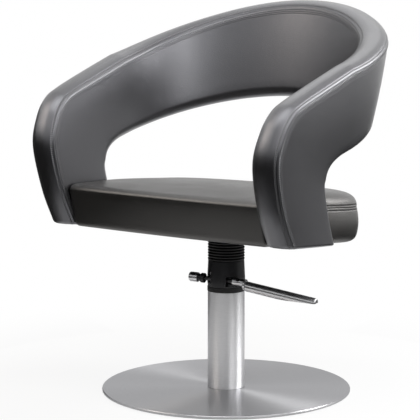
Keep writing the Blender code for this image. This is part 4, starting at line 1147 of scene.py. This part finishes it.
def add_world(light):
    """White to look at and in reflections, and a plain grey light on everything else."""
    world = bpy.data.worlds.new("studio")
    bpy.context.scene.world = world
    world.use_nodes = True
    tree = world.node_tree
    shown = tree.nodes["Background"]
    shown.inputs["Color"].default_value = (1, 1, 1, 1)
    shown.inputs["Strength"].default_value = 1.0
    fill = tree.nodes.new("ShaderNodeBackground")
    fill.inputs["Color"].default_value = (1, 1, 1, 1)
    fill.inputs["Strength"].default_value = light
    mix = tree.nodes.new("ShaderNodeMixShader")
    tree.links.new(seen_rays(tree), mix.inputs["Fac"])
    tree.links.new(fill.outputs["Background"], mix.inputs[1])
    tree.links.new(shown.outputs["Background"], mix.inputs[2])
    tree.links.new(mix.outputs["Shader"], tree.nodes["World Output"].inputs["Surface"])


def add_floor():
    """Pale floor that looks white but keeps the chair's shadow around the base."""
    mesh = bpy.data.meshes.new("floor")
    signs = ((-1, -1), (1, -1), (1, 1), (-1, 1))
    corners = [(FLOOR_REACH * x, FLOOR_REACH * y, FLOOR_Z) for x, y in signs]
    mesh.from_pydata(corners, [], [(0, 1, 2, 3)])
    material = bpy.data.materials.new("pale_floor")
    material.use_nodes = True
    tree = material.node_tree
    surface = tree.nodes["Principled BSDF"]
    surface.inputs["Base Color"].default_value = (0.90, 0.90, 0.90, 1)
    surface.inputs["Roughness"].default_value = 0.8
    glow = tree.nodes.new("ShaderNodeEmission")
    glow.inputs["Color"].default_value = (1, 1, 1, 1)
    place = tree.nodes.new("ShaderNodeTexCoord")
    away = tree.nodes.new("ShaderNodeVectorMath")
    away.operation = "LENGTH"
    tree.links.new(place.outputs["Object"], away.inputs[0])
    fade = tree.nodes.new("ShaderNodeMapRange")
    fade.interpolation_type = "SMOOTHSTEP"
    fade.inputs["From Min"].default_value = GLOW_NEAR
    fade.inputs["From Max"].default_value = GLOW_FAR
    fade.inputs["To Min"].default_value = FLOOR_GLOW
    tree.links.new(away.outputs["Value"], fade.inputs["Value"])
    share = tree.nodes.new("ShaderNodeMath")
    share.operation = "MULTIPLY"
    tree.links.new(fade.outputs["Result"], share.inputs[1])
    tree.links.new(seen_rays(tree), share.inputs[0])
    mix = tree.nodes.new("ShaderNodeMixShader")
    tree.links.new(share.outputs["Value"], mix.inputs["Fac"])
    tree.links.new(surface.outputs["BSDF"], mix.inputs[1])
    tree.links.new(glow.outputs["Emission"], mix.inputs[2])
    tree.links.new(mix.outputs["Shader"], tree.nodes["Material Output"].inputs["Surface"])
    mesh.materials.append(material)
    floor = bpy.data.objects.new("floor", mesh)
    bpy.context.scene.collection.objects.link(floor)


def add_softbox(name, place, width, height, watts, tint):
    """Soft rectangular lamp, out of the camera's sight, aimed at the chair."""
    data = bpy.data.lights.new(name, "AREA")
    data.shape = "RECTANGLE"
    data.size = width
    data.size_y = height
    data.energy = watts
    data.color = tint
    lamp = bpy.data.objects.new(name, data)
    lamp.location = place
    lamp.rotation_euler = (Vector(LAMP_AIM) - Vector(place)).to_track_quat("-Z", "Y").to_euler()
    lamp.visible_camera = False
    bpy.context.scene.collection.objects.link(lamp)


def add_card(name, edges, sweep):
    """Black card between two edges, each a radius and a height, out of the camera's sight."""
    bm = bmesh.new()
    turns = [CARD_START + sweep * i / CARD_SIDES for i in range(CARD_SIDES + 1)]
    near, far = [[bm.verts.new((r * math.cos(a), r * math.sin(a), z)) for a in turns] for r, z in edges]
    for i in range(CARD_SIDES):
        bm.faces.new((near[i], far[i], far[i + 1], near[i + 1]))
    mesh = bpy.data.meshes.new(name)
    bm.to_mesh(mesh)
    bm.free()
    material = bpy.data.materials.new(name)
    material.use_nodes = True
    surface = material.node_tree.nodes["Principled BSDF"]
    surface.inputs["Base Color"].default_value = (0.01, 0.01, 0.01, 1)
    surface.inputs["Roughness"].default_value = 0.9
    mesh.materials.append(material)
    card = bpy.data.objects.new(name, mesh)
    card.visible_camera = False
    card.visible_shadow = False
    bpy.context.scene.collection.objects.link(card)


bpy.context.scene.view_settings.view_transform = "Standard"
add_camera()
add_world(WORLD_FILL)
add_floor()
add_card("floor_card", ((CARD_NEAR, CARD_LIFT), (CARD_FAR, CARD_LIFT)), FLOOR_SWEEP)
add_card("wall_card", ((CARD_FAR, CARD_LIFT), (CARD_FAR, CARD_TOP)), WALL_SWEEP)
add_softbox("right_rear", (1.62, 1.56, 1.90), 1.4, 1.2, 59, WHITE)
add_softbox("top", (0.38, -0.81, 3.04), 2.2, 1.0, 34, WHITE)
add_softbox("right_front", (2.17, -0.58, 1.90), 1.6, 1.2, 22, WHITE)
add_softbox("left_front", (-1.42, -1.47, 2.20), 1.4, 1.0, 17, WARM)
add_softbox("rear", (-0.78, 1.67, 2.44), 1.6, 1.0, 5.5, WHITE)
dress_nodes()
build_band()
build_seat()
build_bellows()
build_pedal()
